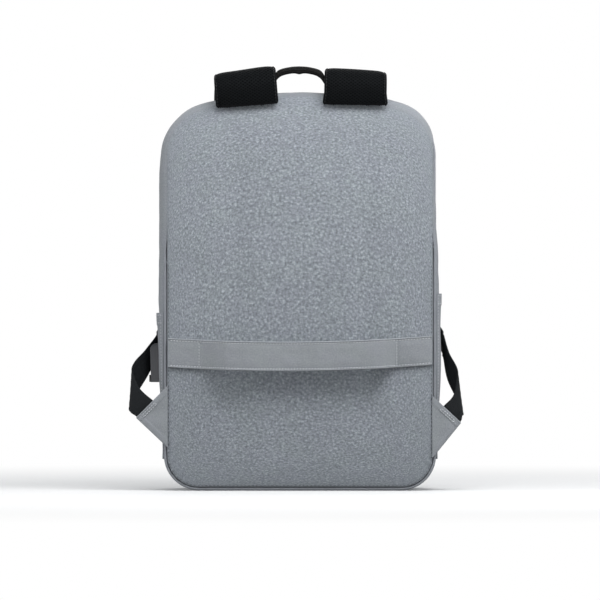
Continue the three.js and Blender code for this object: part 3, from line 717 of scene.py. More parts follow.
def without_repeats(run):
    kept = [run[0]]
    for station in run[1:]:
        if math.dist(station[:2], kept[-1][:2]) > 0.5:
            kept.append(station)
    return kept


def other_side(run):
    return [(-x, z, -out_x, out_z) for x, z, out_x, out_z in reversed(run)]


def right_half(start_height=None, spacing=5):
    """Stations up the right side from the middle of the base, or from a height, to the top's middle."""
    upper = [
        *arc((top_corner_across, top_corner_height), top_corner_radius, 0, arch_start, spacing),
        *arc((0, arch_centre), top_arch_radius, arch_start, math.pi / 2, spacing)]
    if start_height is not None:
        return without_repeats(upright(seam_half_width, start_height, top_corner_height, spacing) + upper)
    steps = round(bottom_corner_across / spacing)
    flat = [(mix(0, bottom_corner_across, step / steps), seam_bottom, 0, -1) for step in range(steps + 1)]
    corner = arc((bottom_corner_across, bottom_corner_height), bottom_corner_radius, -math.pi / 2, 0, spacing)
    side = upright(seam_half_width, bottom_corner_height, top_corner_height, spacing)
    return without_repeats(flat + corner + side + upper)


def horseshoe(start_height, spacing=5):
    right = right_half(start_height, spacing)
    return right + other_side(right)[1:]


def cradle(end_height, spacing=5):
    whole = right_half(None, spacing)
    right = [station for station in whole if station[1] < end_height - 1 and station[0] >= 0]
    right = [station for station in right if station[1] < seam_top / 2]
    right.append((seam_half_width, end_height, 1, 0))
    return other_side(right)[:-1] + right


def whole_seam(spacing=5):
    right = right_half(None, spacing)
    return right + other_side(right)[1:]


def run_length(run):
    return sum(math.dist(before[:2], after[:2]) for before, after in zip(run, run[1:]))


def station_at(run):
    """Turns a list of stations into a function of a share of its length."""
    marks = [0]
    for before, after in zip(run, run[1:]):
        marks.append(marks[-1] + math.dist(before[:2], after[:2]))

    def at(share):
        target = share * marks[-1]
        low = 0
        high = len(marks) - 1
        while high - low > 1:
            half = (low + high) // 2
            if marks[half] <= target:
                low = half
            else:
                high = half
        part = (target - marks[low]) / (marks[high] - marks[low])
        x, z, out_x, out_z = (mix(first, second, part) for first, second in zip(run[low], run[high]))
        size = math.hypot(out_x, out_z)
        return x, z, out_x / size, out_z / size

    return at


print("seam length:", round(run_length(whole_seam())), "mm")

# %% [markdown]
# The side walls are soft: they stand out past the seams, most at half height, and sink a little in the
# middle of their depth where nothing holds them. The solids' numbers are made smooth here, and the
# bag's lean to one side and small ripples are added where the cloth is loose.

# %% How far a side wall stands out
wall_bulge = 7
wall_shoulder_depth = 13
wall_slump = 7
wall_edge_depth = piping_depth - piping_radius - gap
edge_lift = 3.7
top_bulge_share = 0.71
body_height = seam_top + wall_bulge * top_bulge_share
bulge_share = curve_through([
    (0, 0.57), (0.06, 0.45), (0.12, 0.4), (0.3, 0.8), (0.5, 1), (0.62, 1), (0.84, 0.73),
    (1, top_bulge_share)])
lean_starts_across = 62
lean_whole_across = 94
extra_bulge = {
    "left": curve_through([
        (100, 0), (170, 1.2), (192, 2.4), (292, 2.4), (344, 3.7), (357, 3.3), (370, 2.1), (384, 1.6),
        (395, 1.2), (405, 2.0), (412, 2.5), (420, 1.0)]),
    "right": curve_through([
        (150, 0), (180, -1.0), (214, -0.3), (240, -1.0), (266, -1.5), (305, -2.0), (344, -2.4), (365, -2.4),
        (384, 0.4), (394, 2.1), (404, 3.6), (411, 4.4), (420, 4.4)]),
}


def bulge_at(z, x=0.0):
    """The bag leans a little, so its left wall stands out more than its right one."""
    own_side = extra_bulge["left" if x < 0 else "right"]
    asymmetry = own_side(z) * smooth(abs(x), lean_starts_across, lean_whole_across)
    return wall_bulge * bulge_share(z / body_height) + asymmetry


def shoulder_share(y, early=0.0):
    edge = min(1, max(0, (wall_edge_depth + early - abs(y)) / (wall_shoulder_depth + early)))
    return math.sqrt(1 - (1 - edge) ** 2)


def cover_at(y, z):
    """How far the wall's cloth comes over the piping: not at all low down, wholly at the top."""
    return smooth(z, cover_starts, cover_whole) if y < 0 else 0


def slump_at(z, out_x, y):
    low_enough = smooth(seam_top - z, top_corner_radius, 3 * top_corner_radius)
    middle = math.cos(min(1, abs(y) / (half_depth - wall_shoulder_depth)) * math.pi / 2) ** 2
    return wall_slump * low_enough * middle * out_x ** 4


def looseness(x, y, z, out_x):
    """Ripples in a wall: none at the seams, most low on the sides."""
    free = shoulder_share(y) ** 2
    side = out_x ** 2
    tall = 0.75 * ripple((x * 0.1, y, z), 46, 1) * mix(0.35, 1.25, side * smooth(420 - z, 0, 260))
    small = 0.22 * ripple((x, y, z), 15, 2)
    return free * (tall + small)


def wall_point(station, y, extra=0.0):
    """The wall starts level with the top of the piping, so no gap shows beside it."""
    x, z, out_x, out_z = station
    cover = cover_at(y, z)
    early = cover_depth * cover
    offset = mix(mix(edge_lift, cover_lift, cover), bulge_at(z, x), shoulder_share(y, early))
    offset += extra - slump_at(z, out_x, y) + looseness(x, y, z, out_x)
    forward = early * smooth(-y, wall_edge_depth - 8, wall_edge_depth + cover_depth)
    return x + out_x * offset, y - forward, z + out_z * offset


def towards_edge(share):
    """Shares from 0 to 1 bunched at both ends, where the cloth rolls over."""
    t = 2 * share - 1
    return 0.5 + 0.5 * t * (1.5 - 0.5 * t * t)


def wall_piece(name, node, run, start_y, end_y, steps_across):
    at = station_at(run)
    length = run_length(run)

    def place(u, v):
        return wall_point(at(v), mix(start_y, end_y, towards_edge(u)))

    shape = cloth_grid(steps_across, round(length / wall_step), (abs(end_y - start_y), length), place)
    return set_down(shape, name, wall_cloth, [node], cloth_wall)


zip_centre_depth = 20
zip_width = 10
zip_end_height = 108
zip_rear = zip_centre_depth - zip_width / 2
zip_front = zip_centre_depth + zip_width / 2
upper_run = horseshoe(zip_end_height)
lower_run = cradle(zip_end_height)

wall_end = wall_edge_depth + cover_depth
walls = [
    wall_piece("rear_wall", "rear_gusset", upper_run, -wall_end, zip_rear, 44),
    wall_piece("front_wall", "front_gusset", upper_run, zip_front, wall_end, 24),
    wall_piece("base_wall", "base_gusset", lower_run, -wall_end, wall_end, 64),
]
print("walls:", [len(piece.data.polygons) for piece in walls])

# %% [markdown]
# The back panel is a foam pad under cloth. It is crowned: high in the middle and rolled down to the
# seam. Two shallow valleys run up it where a suitcase's pull-out handle presses, and close to the seam
# the cloth puckers between the stitches.

# %% Back and front panels
back_pad_thickness = 3
back_crown = 7
front_crown = 8
crown_power_across = 3.2
crown_power_up = 5
crown_roll = 0.62
tube_valley_depth = 2.2
tube_valley_spacing = 142
tube_valley_width = 26
panel_edge_depth = piping_depth - piping_radius / 2
back_seam_depth = panel_edge_depth + back_pad_thickness
panel_middle_height = (seam_bottom + seam_top) / 2
pucker_radius = 250
pucker_pitch = 9
pucker_depth = 0.4
pucker_reach = 7


def seam_low(x):
    past = max(0, abs(x) - bottom_corner_across)
    return bottom_corner_height - math.sqrt(max(0, bottom_corner_radius ** 2 - past ** 2))


def seam_high(x):
    across = abs(x)
    if across <= top_arch_radius * math.cos(arch_start):
        return arch_centre + math.sqrt(top_arch_radius ** 2 - across ** 2)
    past = across - top_corner_across
    return top_corner_height + math.sqrt(max(0, top_corner_radius ** 2 - past ** 2))


def crown_share(share, row_share):
    """1 in the middle of a panel and 0 at its seam, flatter across than a ball."""
    sideways = 1 - min(1, abs(share)) ** crown_power_across
    upwards = 1 - min(1, abs(2 * row_share - 1)) ** crown_power_up
    return sideways ** crown_roll * upwards ** crown_roll


def tube_valley(x, row_share):
    away = (abs(x) - tube_valley_spacing / 2) / (tube_valley_width / 2)
    fade = smooth(1 - abs(2 * row_share - 1), 0.05, 0.4)
    return tube_valley_depth * fade * math.exp(-away * away)


def edge_distance(x, z):
    """How far a place on the panel is from the seam, in millimetres."""
    sideways = seam_half_width - abs(x)
    if z > top_corner_height and abs(x) > top_corner_across:
        return top_corner_radius - math.hypot(abs(x) - top_corner_across, z - top_corner_height)
    if z < bottom_corner_height and abs(x) > bottom_corner_across:
        return bottom_corner_radius - math.hypot(abs(x) - bottom_corner_across, z - bottom_corner_height)
    return min(sideways, seam_high(x) - z, z - seam_low(x))


def panel_place(depth_at):
    def place(u, v):
        share = 2 * towards_edge(u) - 1
        row_share = towards_edge(v)
        x = share * seam_half_width
        z = mix(seam_low(x), seam_high(x), row_share)
        return x, depth_at(x, z, share, row_share), z

    return place


def back_depth(x, z, share, row_share):
    distance = max(0, edge_distance(x, z))
    around = math.atan2(z - panel_middle_height, x) * pucker_radius
    pucker = pucker_depth * math.sin(around / pucker_pitch * 2 * math.pi) * math.exp(-distance / pucker_reach)
    pucker *= 0.5 + ripple((x, 0, z), 30, 5)
    quilting = 0.5 * ripple((x, 0, z), 70, 3) + 0.18 * ripple((x, 0, z), 22, 4)
    loose = quilting * smooth(distance, 2, 24)
    crown = -back_seam_depth - back_crown * crown_share(share, row_share)
    return crown + tube_valley(x, row_share) - loose - pucker


def front_depth(x, z, share, row_share):
    distance = max(0, edge_distance(x, z))
    loose = (0.9 * ripple((x, 1, z), 80, 6) + 0.25 * ripple((x, 1, z), 24, 7)) * smooth(distance, 2, 30)
    return panel_edge_depth + cloth_wall + front_crown * crown_share(share, row_share) + loose


panel_size = (2 * seam_half_width, seam_top - seam_bottom)
back_cloth = set_down(
    cloth_grid(150, 210, panel_size, panel_place(back_depth)), "back_panel_cloth", cloth,
    ["back_panel"], back_pad_thickness)
front_cloth = set_down(
    cloth_grid(110, 150, panel_size, panel_place(front_depth)), "front_panel_cloth", cloth,
    ["front_panel"], cloth_wall)
print("panels:", len(back_cloth.data.polygons), len(front_cloth.data.polygons))

# %% [markdown]
# A piped seam joins each panel to the walls: a cord in a fold of cloth, and on the back panel's side
# the seam that caught it, which shows low down as a dark line of short stitches.

# %% Piping
piping_step = 3
covered_piping_sinks = 1.6
seam_stitches_top = 245
seam_stitches_inset = 1.3


def piping(name, facing, node):
    run = whole_seam(piping_step)
    at = station_at(run)
    length = run_length(run)

    def place(u, v):
        x, z, out_x, out_z = at(v if v < 1 else 0)
        turn = 2 * math.pi * u
        cover = cover_at(facing, z)
        swell = piping_radius * (1 - 0.25 * cover + 0.05 * ripple((x, 0, z), 9, 8))
        offset = gap + piping_radius + swell * math.cos(turn)
        y = facing * (piping_depth - covered_piping_sinks * cover + swell * math.sin(turn))
        return x + out_x * offset, y, z + out_z * offset

    flat_size = (2 * math.pi * piping_radius, length)
    shape = cloth_grid(10, round(length / piping_step), flat_size, place, joined=True)
    return set_down(shape, name, piping_cloth, [node])


rear_piping = piping("rear_piping", -1, "back_piping")
piping("far_piping", 1, "front_piping")


def seam_line(inset, depth):
    return [
        (x - out_x * inset, depth, z - out_z * inset)
        for x, z, out_x, out_z in cradle(seam_stitches_top, piping_step)]


def off_the_back(point):
    return 0, -1, 0


stitches(
    "rear_seam_stitches", [seam_line(seam_stitches_inset, -back_seam_depth - 1.2)], off_the_back,
    grey_thread, pitch=4.2, length=2.6, width=0.8)
print("piping:", len(rear_piping.data.polygons))

# %% [markdown]
# The main zip runs round the top and down both sides. Its tape is woven and lies just under the edges
# of the walls; the coil is two rows of nylon loops that lock into each other. One loop is made once
# and repeated, leaning left and right in turn.

# %% Zip tape and coil
zip_tape_under_wall = 1.5
zip_tape_sunk = 1.6
zip_coil_pitch = 1.7
zip_loop_size = (1.15, 3.1, 1.5)
zip_loop_aside = 1.05
zip_loop_sunk = 0.75
zip_loop_lean = 14
zip_stitch_inset = 3


def zip_tape_place():
    at = station_at(upper_run)

    def place(u, v):
        y = mix(zip_rear - zip_tape_under_wall, zip_front + zip_tape_under_wall, u)
        return wall_point(at(v), y, -zip_tape_sunk)

    return place


zip_length = run_length(upper_run)
tape_flat_size = (zip_width + 2 * zip_tape_under_wall, zip_length)
set_down(
    cloth_grid(8, round(zip_length / wall_step), tape_flat_size, zip_tape_place()),
    "zip_tape", zip_tape, wall=0.8)


def coil_places():
    at = station_at(upper_run)
    count = round(zip_length / zip_coil_pitch)
    places = []
    for index in range(count):
        share = (index + 0.5) / count
        station = at(share)
        after = at(min(1, share + 0.002))
        side = 1 if index % 2 else -1
        point = wall_point(station, zip_centre_depth + side * zip_loop_aside, -zip_loop_sunk)
        along = Vector((after[0] - station[0], 0, after[1] - station[1]))
        out = Vector((station[2], 0, station[3]))
        lean = Matrix.Rotation(math.radians(zip_loop_lean * side), 4, "Z")
        places.append(frame_at(point, along, out) @ lean)
    return places


zip_loops = coil_places()
repeated(bead("coil_loop", zip_loop_size), zip_loops, "zip_coil", zip_coil, ["main_zipper"])


def wall_line(run, y, lift=0.25, steps=250):
    at = station_at(run)
    return [wall_point(at(step / steps), y, lift) for step in range(steps + 1)]


def off_the_wall(point):
    x, _, z = point
    outward = Vector((max(0, abs(x) - top_corner_across) * (1 if x > 0 else -1), 0, z - top_corner_height))
    if z < top_corner_height:
        outward.z = min(0, z - bottom_corner_height)
    if abs(x) <= top_arch_radius * math.cos(arch_start) and z > top_corner_height:
        outward = Vector((x, 0, z - arch_centre))
    return outward if outward.length > 0 else Vector((0, 0, 1))


zip_stitch_depths = (zip_rear - zip_stitch_inset, zip_front + zip_stitch_inset)
zip_stitch_lines = [wall_line(upper_run, y) for y in zip_stitch_depths]
stitches(
    "zip_stitches", zip_stitch_lines, off_the_wall, grey_thread, pitch=3.4, length=2.5, width=0.6)
print("zip loops:", len(zip_loops))

# %% [markdown]
# A zip slider is a small cast body with a bridge on top, and its puller is a flat tag with rounded
# ends and a shallow panel in each face. Boxes are bevelled until no edge is sharp.

# %% Zip sliders
slider_length = 13
slider_width = 9
slider_height = 4.6
puller_length = 26
puller_width = 6
puller_thickness = 1.8
first_slider_across = 46
slider_spacing = 20
slider_lift = 1.2
bridge_width = 2.6
bridge_thickness = 1.1
bridge_post = 1.6
tag_end_share = 0.42
tag_rim = 1.1
tag_panel_depth = 0.35


def round_off(shape, edges, radius, segments, clamp=True):
    bmesh.ops.bevel(
        shape, geom=list(edges), offset=radius * MM, offset_type="OFFSET", segments=segments, profile=0.5,
        affect="EDGES", material=-1, clamp_overlap=clamp)


def block(shape, size, centre):
    """Adds a box in millimetres and gives its edges."""
    made = bmesh.ops.create_cube(shape, size=1)["verts"]
    bmesh.ops.scale(shape, verts=made, vec=Vector(size) * MM)
    bmesh.ops.translate(shape, verts=made, vec=Vector(centre) * MM)
    return {edge for vertex in made for edge in vertex.link_edges}


def rounded_box(shape, size, centre, radius, segments=3):
    round_off(shape, block(shape, size, centre), radius, segments)


def tag(shape, length, width, thickness, centre_y, centre_z):
    """A flat tag with a rounded outline and a shallow panel pressed into each face."""
    corners = [
        edge for edge in block(shape, (width, length, thickness), (0, centre_y, centre_z))
        if abs(edge.verts[0].co.z - edge.verts[1].co.z) > thickness * MM / 2]
    round_off(shape, corners, width * tag_end_share, 4)
    near = [
        face for face in shape.faces
        if abs(face.normal.z) > 0.9 and abs(face.calc_center_median().z - centre_z * MM) < thickness * MM
        and len(face.verts) > 6]
    for face in near:
        bmesh.ops.inset_individual(
            shape, faces=[face], thickness=tag_rim * MM, depth=-tag_panel_depth * MM, use_even_offset=True)


def slider_piece(name, across, node):
    shape = bmesh.new()
    high = slider_height
    post = (bridge_post, bridge_width, high * 0.5)
    for size, centre, radius in (
            ((slider_length, slider_width, high * 0.36), (0, 0, high * 0.2), 0.7),
            ((slider_length * 0.84, slider_width * 0.8, high * 0.3), (0, 0, high * 0.52), 0.6),
            ((slider_length * 0.7, bridge_width, bridge_thickness), (0, 0, high * 0.98), 0.45),
            (post, (slider_length * 0.3, 0, high * 0.76), 0.4),
            (post, (-slider_length * 0.3, 0, high * 0.76), 0.4)):
        rounded_box(shape, size, centre, radius)
    tag_centre = (slider_width / 4 - puller_length / 2, high + puller_thickness / 2 - gap)
    tag(shape, puller_length, puller_width, puller_thickness, *tag_centre)
    angle = math.acos(across / top_arch_radius)
    reach = top_arch_radius + bulge_at(body_height) + slider_lift
    lean = angle - math.pi / 2
    turn = Matrix.Rotation(-lean, 4, "Y")
    centre = Vector((math.cos(angle) * reach, zip_centre_depth, arch_centre + math.sin(angle) * reach)) * MM
    bmesh.ops.transform(shape, matrix=Matrix.Translation(centre) @ turn, verts=shape.verts)
    return set_down(shape, name, slider_metal, [node], crease=35)


slider_left = slider_piece("slider_left", first_slider_across, "zip_slider_left")
slider_right = slider_piece("slider_right", first_slider_across + slider_spacing, "zip_slider_right")
print("sliders:", slider_left.name, slider_right.name)

# %% [markdown]
# Each side pocket is a patch sewn down on three edges over the wall. Its cloth is a little too big for
# its place, so it puffs out and wrinkles, and its open edge is turned over and sewn twice.

# %% Side pockets
pocket_fullness = 1.2
pocket_bottom = 34
pocket_seam_inset = 4.5
pocket_sewn_lift = 0.5
pocket_hems = {"left": 192, "right": 213}
pocket_half_depth = half_depth - pocket_seam_inset
pocket_gather_pitch = 5.2
pocket_stitch_lift = 0.15
fullness_share = curve_through([(0, 0.05), (0.2, 0.7), (0.5, 1), (0.75, 0.7), (1, 0.2)])
hem_depth = 13
hem_fold = 0.6
hem_edge = 0.8
side_signs = {"left": -1, "right": 1}


def pocket_offset(sign, y, z, rise):
    """Sewn down on the wall along its upright edges, clear of it and puffed out between them."""
    inside = pocket_half_depth - abs(y)
    share = min(1, max(0, inside / wall_shoulder_depth))
    puff = pocket_fullness * fullness_share(rise) * math.sqrt(1 - (1 - share) ** 2)
    wall = mix(edge_lift, bulge_at(z, sign * seam_half_width), shoulder_share(y))
    return wall + mix(pocket_sewn_lift, 2 * gap + cloth_wall, smooth(inside, 0, 9)) + puff


def pocket_wrinkles(y, z, rise, seed):
    free = smooth(pocket_half_depth - abs(y), 0, 16) * smooth(rise, 0, 0.12)
    wander = 1.5 * ripple((0, y, z), 40, seed)
    gathers = 0.35 * math.sin(y / pocket_gather_pitch + wander) * (1 - smooth(rise, 0.02, 0.3))
    return free * (0.55 * ripple((0, y * 1.4, z * 0.7), 26, seed) + gathers - 0.3)


def pocket_point(side, y, z, rise, lift=0.0):
    """A place on the pocket's outer face, with its hem turned over at the top."""
    sign = side_signs[side]
    hem_line = pocket_hems[side] - hem_depth
    turned = smooth(z, hem_line - hem_edge, hem_line + hem_edge)
    fold = hem_fold * turned * smooth(pocket_half_depth - abs(y), 0, 6)
    offset = pocket_offset(sign, y, z, rise) + pocket_wrinkles(y, z, rise, 11 + sign) + fold + lift
    return sign * (seam_half_width + offset), y, z


def pocket(name, side):
    hem = pocket_hems[side]

    def place(u, v):
        y = mix(-pocket_half_depth, pocket_half_depth, towards_edge(u))
        return pocket_point(side, y, mix(pocket_bottom, hem, v), v)

    shape = cloth_grid(64, 90, (2 * pocket_half_depth, hem - pocket_bottom), place)
    return set_down(shape, name, wall_cloth, ["side_pocket_" + side], cloth_wall)


def pocket_stitches(name, side):
    hem = pocket_hems[side]

    def point(y, z):
        return pocket_point(side, y, z, (z - pocket_bottom) / (hem - pocket_bottom), pocket_stitch_lift)

    depths = [mix(-pocket_half_depth + 1, pocket_half_depth - 1, step / 60) for step in range(61)]
    heights = [mix(pocket_bottom + 2, hem - 1, step / 80) for step in range(81)]
    lines = [[point(y, z) for y in depths] for z in (hem - 2.5, hem - hem_depth + 2.2, pocket_bottom + 2.5)]
    lines += [[point(edge * (pocket_half_depth - 2.4), z) for z in heights] for edge in (-1, 1)]
    return stitches(
        name, lines, lambda place: (side_signs[side], 0, 0), pale_thread,
        pitch=3.4, length=2.5, width=0.6)


for side in side_signs:
    pocket("pocket_" + side, side)
    pocket_stitches("pocket_stitches_" + side, side)
print("pockets:", list(side_signs))

# %% [markdown]
# The port housing is a small moulding on the left pocket with a socket in its lower end. It starts as
# a box with a large radius at the outer top corner and small ones at its other edges. The socket is an
# inset of the lower face pushed up into the body.

# %% Port housing
housing_low, housing_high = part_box("usb_housing")
housing_radius = 7.2
housing_sunk = 2.5
housing_edge_radius = 1.3
housing_foot_inset = 1.0
socket_rim = 0.9
socket_lip = 0.25
socket_lip_depth = 0.3
socket_depth = 7.5
tongue_size = (1.5, 10.6, 6.4)
contact_size = (0.3, 1.2, 4.6)
contact_pitch = 2.4
contact_count = 4
same_place = 1e-6


def housing_piece():
    low = [value / MM for value in housing_low]
    high = [value / MM for value in housing_high]
    high[0] += housing_sunk
    shape = bmesh.new()
    made = bmesh.ops.create_cube(shape, size=1)["verts"]
    for vertex in made:
        vertex.co = Vector([mix(low[axis], high[axis], vertex.co[axis] + 0.5) for axis in range(3)]) * MM
        if vertex.co.x < housing_low[0] + same_place and vertex.co.z < housing_low[2] + same_place:
            vertex.co.x += housing_foot_inset * MM

    def at_outer_top(vertex):
        return vertex.co.x < housing_low[0] + same_place and vertex.co.z > housing_high[2] - same_place

    outer_top = [edge for edge in shape.edges if all(at_outer_top(vertex) for vertex in edge.verts)]
    round_off(shape, outer_top, housing_radius, 8, clamp=False)
    flat_faces = [face for face in shape.faces if abs(face.normal.y) > 0.9]
    rims = {edge for face in flat_faces for edge in face.edges if edge.verts[0].co.x < housing_high[0]}
    round_off(shape, rims, housing_edge_radius, 4)
    shape.normal_update()
    facing_down = [face for face in shape.faces if face.normal.z < -0.9]
    lower = min(facing_down, key=lambda face: face.calc_center_median().z)
    bmesh.ops.inset_individual(shape, faces=[lower], thickness=socket_rim * MM, use_even_offset=True)
    bmesh.ops.inset_individual(
        shape, faces=[lower], thickness=socket_lip * MM, depth=-socket_lip_depth * MM, use_even_offset=True)
    pushed = bmesh.ops.extrude_discrete_faces(shape, faces=[lower])["faces"]
    bmesh.ops.translate(
        shape, verts=list({v for face in pushed for v in face.verts}), vec=(0, 0, socket_depth * MM))
    for face in pushed:
        face.material_index = 1
        for edge in face.edges:
            for wall in edge.link_faces:
                wall.material_index = 1
    return set_down(
        shape, "port_housing", [port_plastic, socket_plastic], ["usb_housing"], crease=40)


def port_tongue():
    """The tongue inside the socket and its flat contacts."""
    shape = bmesh.new()
    centre_x = (housing_low[0] + housing_high[0]) / 2 / MM + 0.6
    centre_y = (housing_low[1] + housing_high[1]) / 2 / MM
    mouth = housing_low[2] / MM
    rounded_box(shape, tongue_size, (centre_x - 0.7, centre_y, mouth + 4.6), 0.3)
    body_faces = len(shape.faces)
    first_contact = centre_y - contact_pitch * (contact_count - 1) / 2
    for step in range(contact_count):
        centre = (centre_x + 0.15, first_contact + contact_pitch * step, mouth + 4.2)
        rounded_box(shape, contact_size, centre, 0.1, 1)
    shape.faces.ensure_lookup_table()
    for face in shape.faces[body_faces:]:
        face.material_index = 1
    return set_down(shape, "port_tongue", [socket_plastic, contact_metal], crease=35)


housing = housing_piece()
port_tongue()
print("port housing faces:", len(housing.data.polygons))

# %% [markdown]
# The luggage strap is a folded band of smoother cloth. Both long edges are rolled and stitched, and a
# row of stitches up each end shows where its padding stops. It lies on the panel near the seams and
# stands off it between them, so that the handle's two tubes can pass behind it.

# %% Luggage strap
sleeve_height = 32
sleeve_thickness = 2.4
sleeve_stand_off = 21
sleeve_sag = 5
sleeve_end_bottoms = (133, 135.5)
sleeve_row_places = (-109, 104.5)
sleeve_half_width = seam_half_width - 2 * gap
sleeve_wave_width = 140
stand_off_share = curve_through([
    (-1, 0), (-0.85, 0), (-0.76, 0.02), (-0.7, 0.3), (-0.63, 0.74), (-0.55, 0.97), (-0.4, 1), (-0.2, 0.97),
    (0, 0.95), (0.2, 0.97), (0.39, 1), (0.53, 0.97), (0.61, 0.74), (0.67, 0.3), (0.73, 0.02), (0.84, 0),
    (1, 0)])


def sleeve_point(across, rise, lift=0.0):
    """A place on the strap: across from -1 to 1, rise from 0 to 1 up it, lift outwards in millimetres."""
    x = across * sleeve_half_width
    bottom = mix(*sleeve_end_bottoms, (across + 1) / 2) - sleeve_sag * (1 - across ** 2)
    z = bottom + rise * sleeve_height
    low = seam_low(x)
    share = min(1, abs(x) / (seam_half_width - gap))
    row_share = (z - low) / (seam_high(x) - low)
    crown = -back_seam_depth - back_crown * crown_share(share, row_share)
    y = crown - 2 * gap - stand_off_share(across) * sleeve_stand_off - lift
    return x, y, z


def sleeve_roll(rise):
    """How full the band is at a height on it: rolled edges, a groove at the stitches, a flat middle."""
    edge = min(rise, 1 - rise) * sleeve_height
    rolled = 0.5 * math.exp(-((edge - 0.9) / 0.9) ** 2)
    groove = -0.35 * math.exp(-((edge - 2.6) / 0.7) ** 2)
    middle = 0.3 * smooth(edge, 3, 9)
    return rolled + groove + middle


def sleeve_piece():
    def place(u, v):
        outer = v <= 0.5
        across = 2 * u - 1
        rise = min(1, max(0, 2 * v if outer else 2 - 2 * v))
        edge = min(rise, 1 - rise) * sleeve_height
        closing = smooth(edge, 0, 0.9)
        aside = across * sleeve_wave_width
        wave = 0.35 * ripple((aside, 0, rise * 22), 34, 21) + 0.15 * ripple((aside, 0, rise * 32), 9, 22)
        tack = sum(math.exp(-((across * 142 - row) / 1.1) ** 2) for row in sleeve_row_places)
        middle = sleeve_thickness / 2
        half = (middle - 0.25 + sleeve_roll(rise)) * closing - 0.3 * tack * closing
        lift = middle + wave + (half if outer else -middle * closing * 0.9)
        return sleeve_point(across, rise, max(0.1, lift))

    shape = cloth_grid(190, 72, (2 * sleeve_half_width, 2 * sleeve_height), place, outward_from=None)
    close_up(shape, weld=0.02)
    return set_down(shape, "luggage_band", trim_cloth, ["luggage_strap"])


luggage_band = sleeve_piece()


def sleeve_line(rise):
    return [sleeve_point(mix(-0.985, 0.985, step / 200), rise, sleeve_thickness + 0.1) for step in range(201)]


def sleeve_upright(x):
    across = x / sleeve_half_width
    return [sleeve_point(across, mix(0.1, 0.9, step / 24), sleeve_thickness + 0.2) for step in range(25)]


sleeve_inset = 2.6 / sleeve_height
sleeve_lines = [sleeve_line(sleeve_inset), sleeve_line(1 - sleeve_inset)]
sleeve_lines += [sleeve_upright(x) for x in sleeve_row_places]
stitches(
    "luggage_band_stitches", sleeve_lines, off_the_back, pale_thread,
    pitch=3.2, length=2.3, width=0.75)
print("luggage strap faces:", len(luggage_band.data.polygons))

# %% [markdown]
# Straps and webbing follow routes: a smooth curve through a few named places, with a second curve for
# the way their width points. The curve bends less where its places are near each other, so it never
# loops, and it is the same rule as in the solids, so each strap lies close to its solid.

# %% Routes
class Route:
    """A smooth curve through points, for shares from 0 to 1."""

    def __init__(self, points):
        self.points = [Vector(point) for point in points]

    def at(self, share):
        points = self.points
        place = share * (len(points) - 1)
        index = min(len(points) - 2, int(place))
        part = place - index
        second, third = points[index], points[index + 1]
        first = points[index - 1] if index > 0 else 2 * second - third
        fourth = points[index + 2] if index + 2 < len(points) else 2 * third - second
        spans = ((first, second), (second, third), (third, fourth))
        before, middle, after = (math.sqrt(max(1e-8, (end - start).length)) for start, end in spans)
        inner = (third - second) / middle
        leave = ((second - first) / before - (third - first) / (before + middle) + inner) * middle
        arrive = (inner - (fourth - second) / (middle + after) + (fourth - third) / after) * middle
        square, cube = part ** 2, part ** 3
        return (second * (2 * cube - 3 * square + 1) + leave * (cube - 2 * square + part)
                + third * (3 * square - 2 * cube) + arrive * (cube - square))

    def along(self, share):
        step = 1e-4
        low, high = max(0, share - step), min(1, share + step)
        return (self.at(high) - self.at(low)).normalized()


def stations_on(route, hints, steps):
    """Point, width direction and normal at even shares of a route."""
    stations = []
    for step in range(steps + 1):
        share = step / steps
        along = route.along(share)
        width = hints.at(share)
        width = (width - along * width.dot(along)).normalized()
        stations.append((route.at(share), width, along.cross(width).normalized()))
    return stations


def between(stations, share):
    """The station at a share of a list, mixed from its two neighbours."""
    place = min(1, max(0, share)) * (len(stations) - 1)
    index = min(len(stations) - 2, int(place))
    part = place - index
    return tuple(
        first.lerp(second, part) for first, second in zip(stations[index], stations[index + 1]))


def length_of(stations):
    return sum((after[0] - before[0]).length for before, after in zip(stations, stations[1:]))


strap_width = 67.5
strap_roundness = 6
strap_thickness = 10
strap_edge_thickness = 2.6
strap_end_offset = 34
strap_end_straight = 24
strap_end_height = 238
strap_crest_height = 449.5
strap_rest = panel_edge_depth + cloth_wall + front_crown + gap + strap_thickness / 2
strap_rise = back_seam_depth + back_crown + strap_thickness / 2
lock_turn = math.radians(32)
strap_own = {
    "left": {"centre": -59.6, "root": 416.5, "tilt": -9.5, "lean": 2.6, "flare": 0.0},
    "right": {"centre": 60.2, "root": 417.5, "tilt": -4.8, "lean": -0.6, "flare": 0.05},
}
strap_route = [
    (0.0, -0.925, "root", 0.0, 0.0), (0.0, -0.985, "root", 0.4, 0.4), (0.0, -0.985, "root", 0.72, 0.8),
    (0.0, -0.86, "root", 0.985, 1.0), (0.0, -0.5, "root", 1.02, 1.0), (0.0, 0.1, "root", 0.9, 0.5),
    (0.02, 0.64, "root", 0.78, 0.3), (0.05, 0.955, "root", 0.4, 0.2), (0.07, 1.0, "end", 0.8, 0.1),
    (0.2, 1.0, "end", 0.5, 0.0), (0.42, 1.0, "end", 0.27, 0.0), (1.0, 1.0, "end", 0.0, 0.0)]


def lock_along(side):
    return Vector((side_signs[side] * math.sin(lock_turn), 0, -math.cos(lock_turn)))


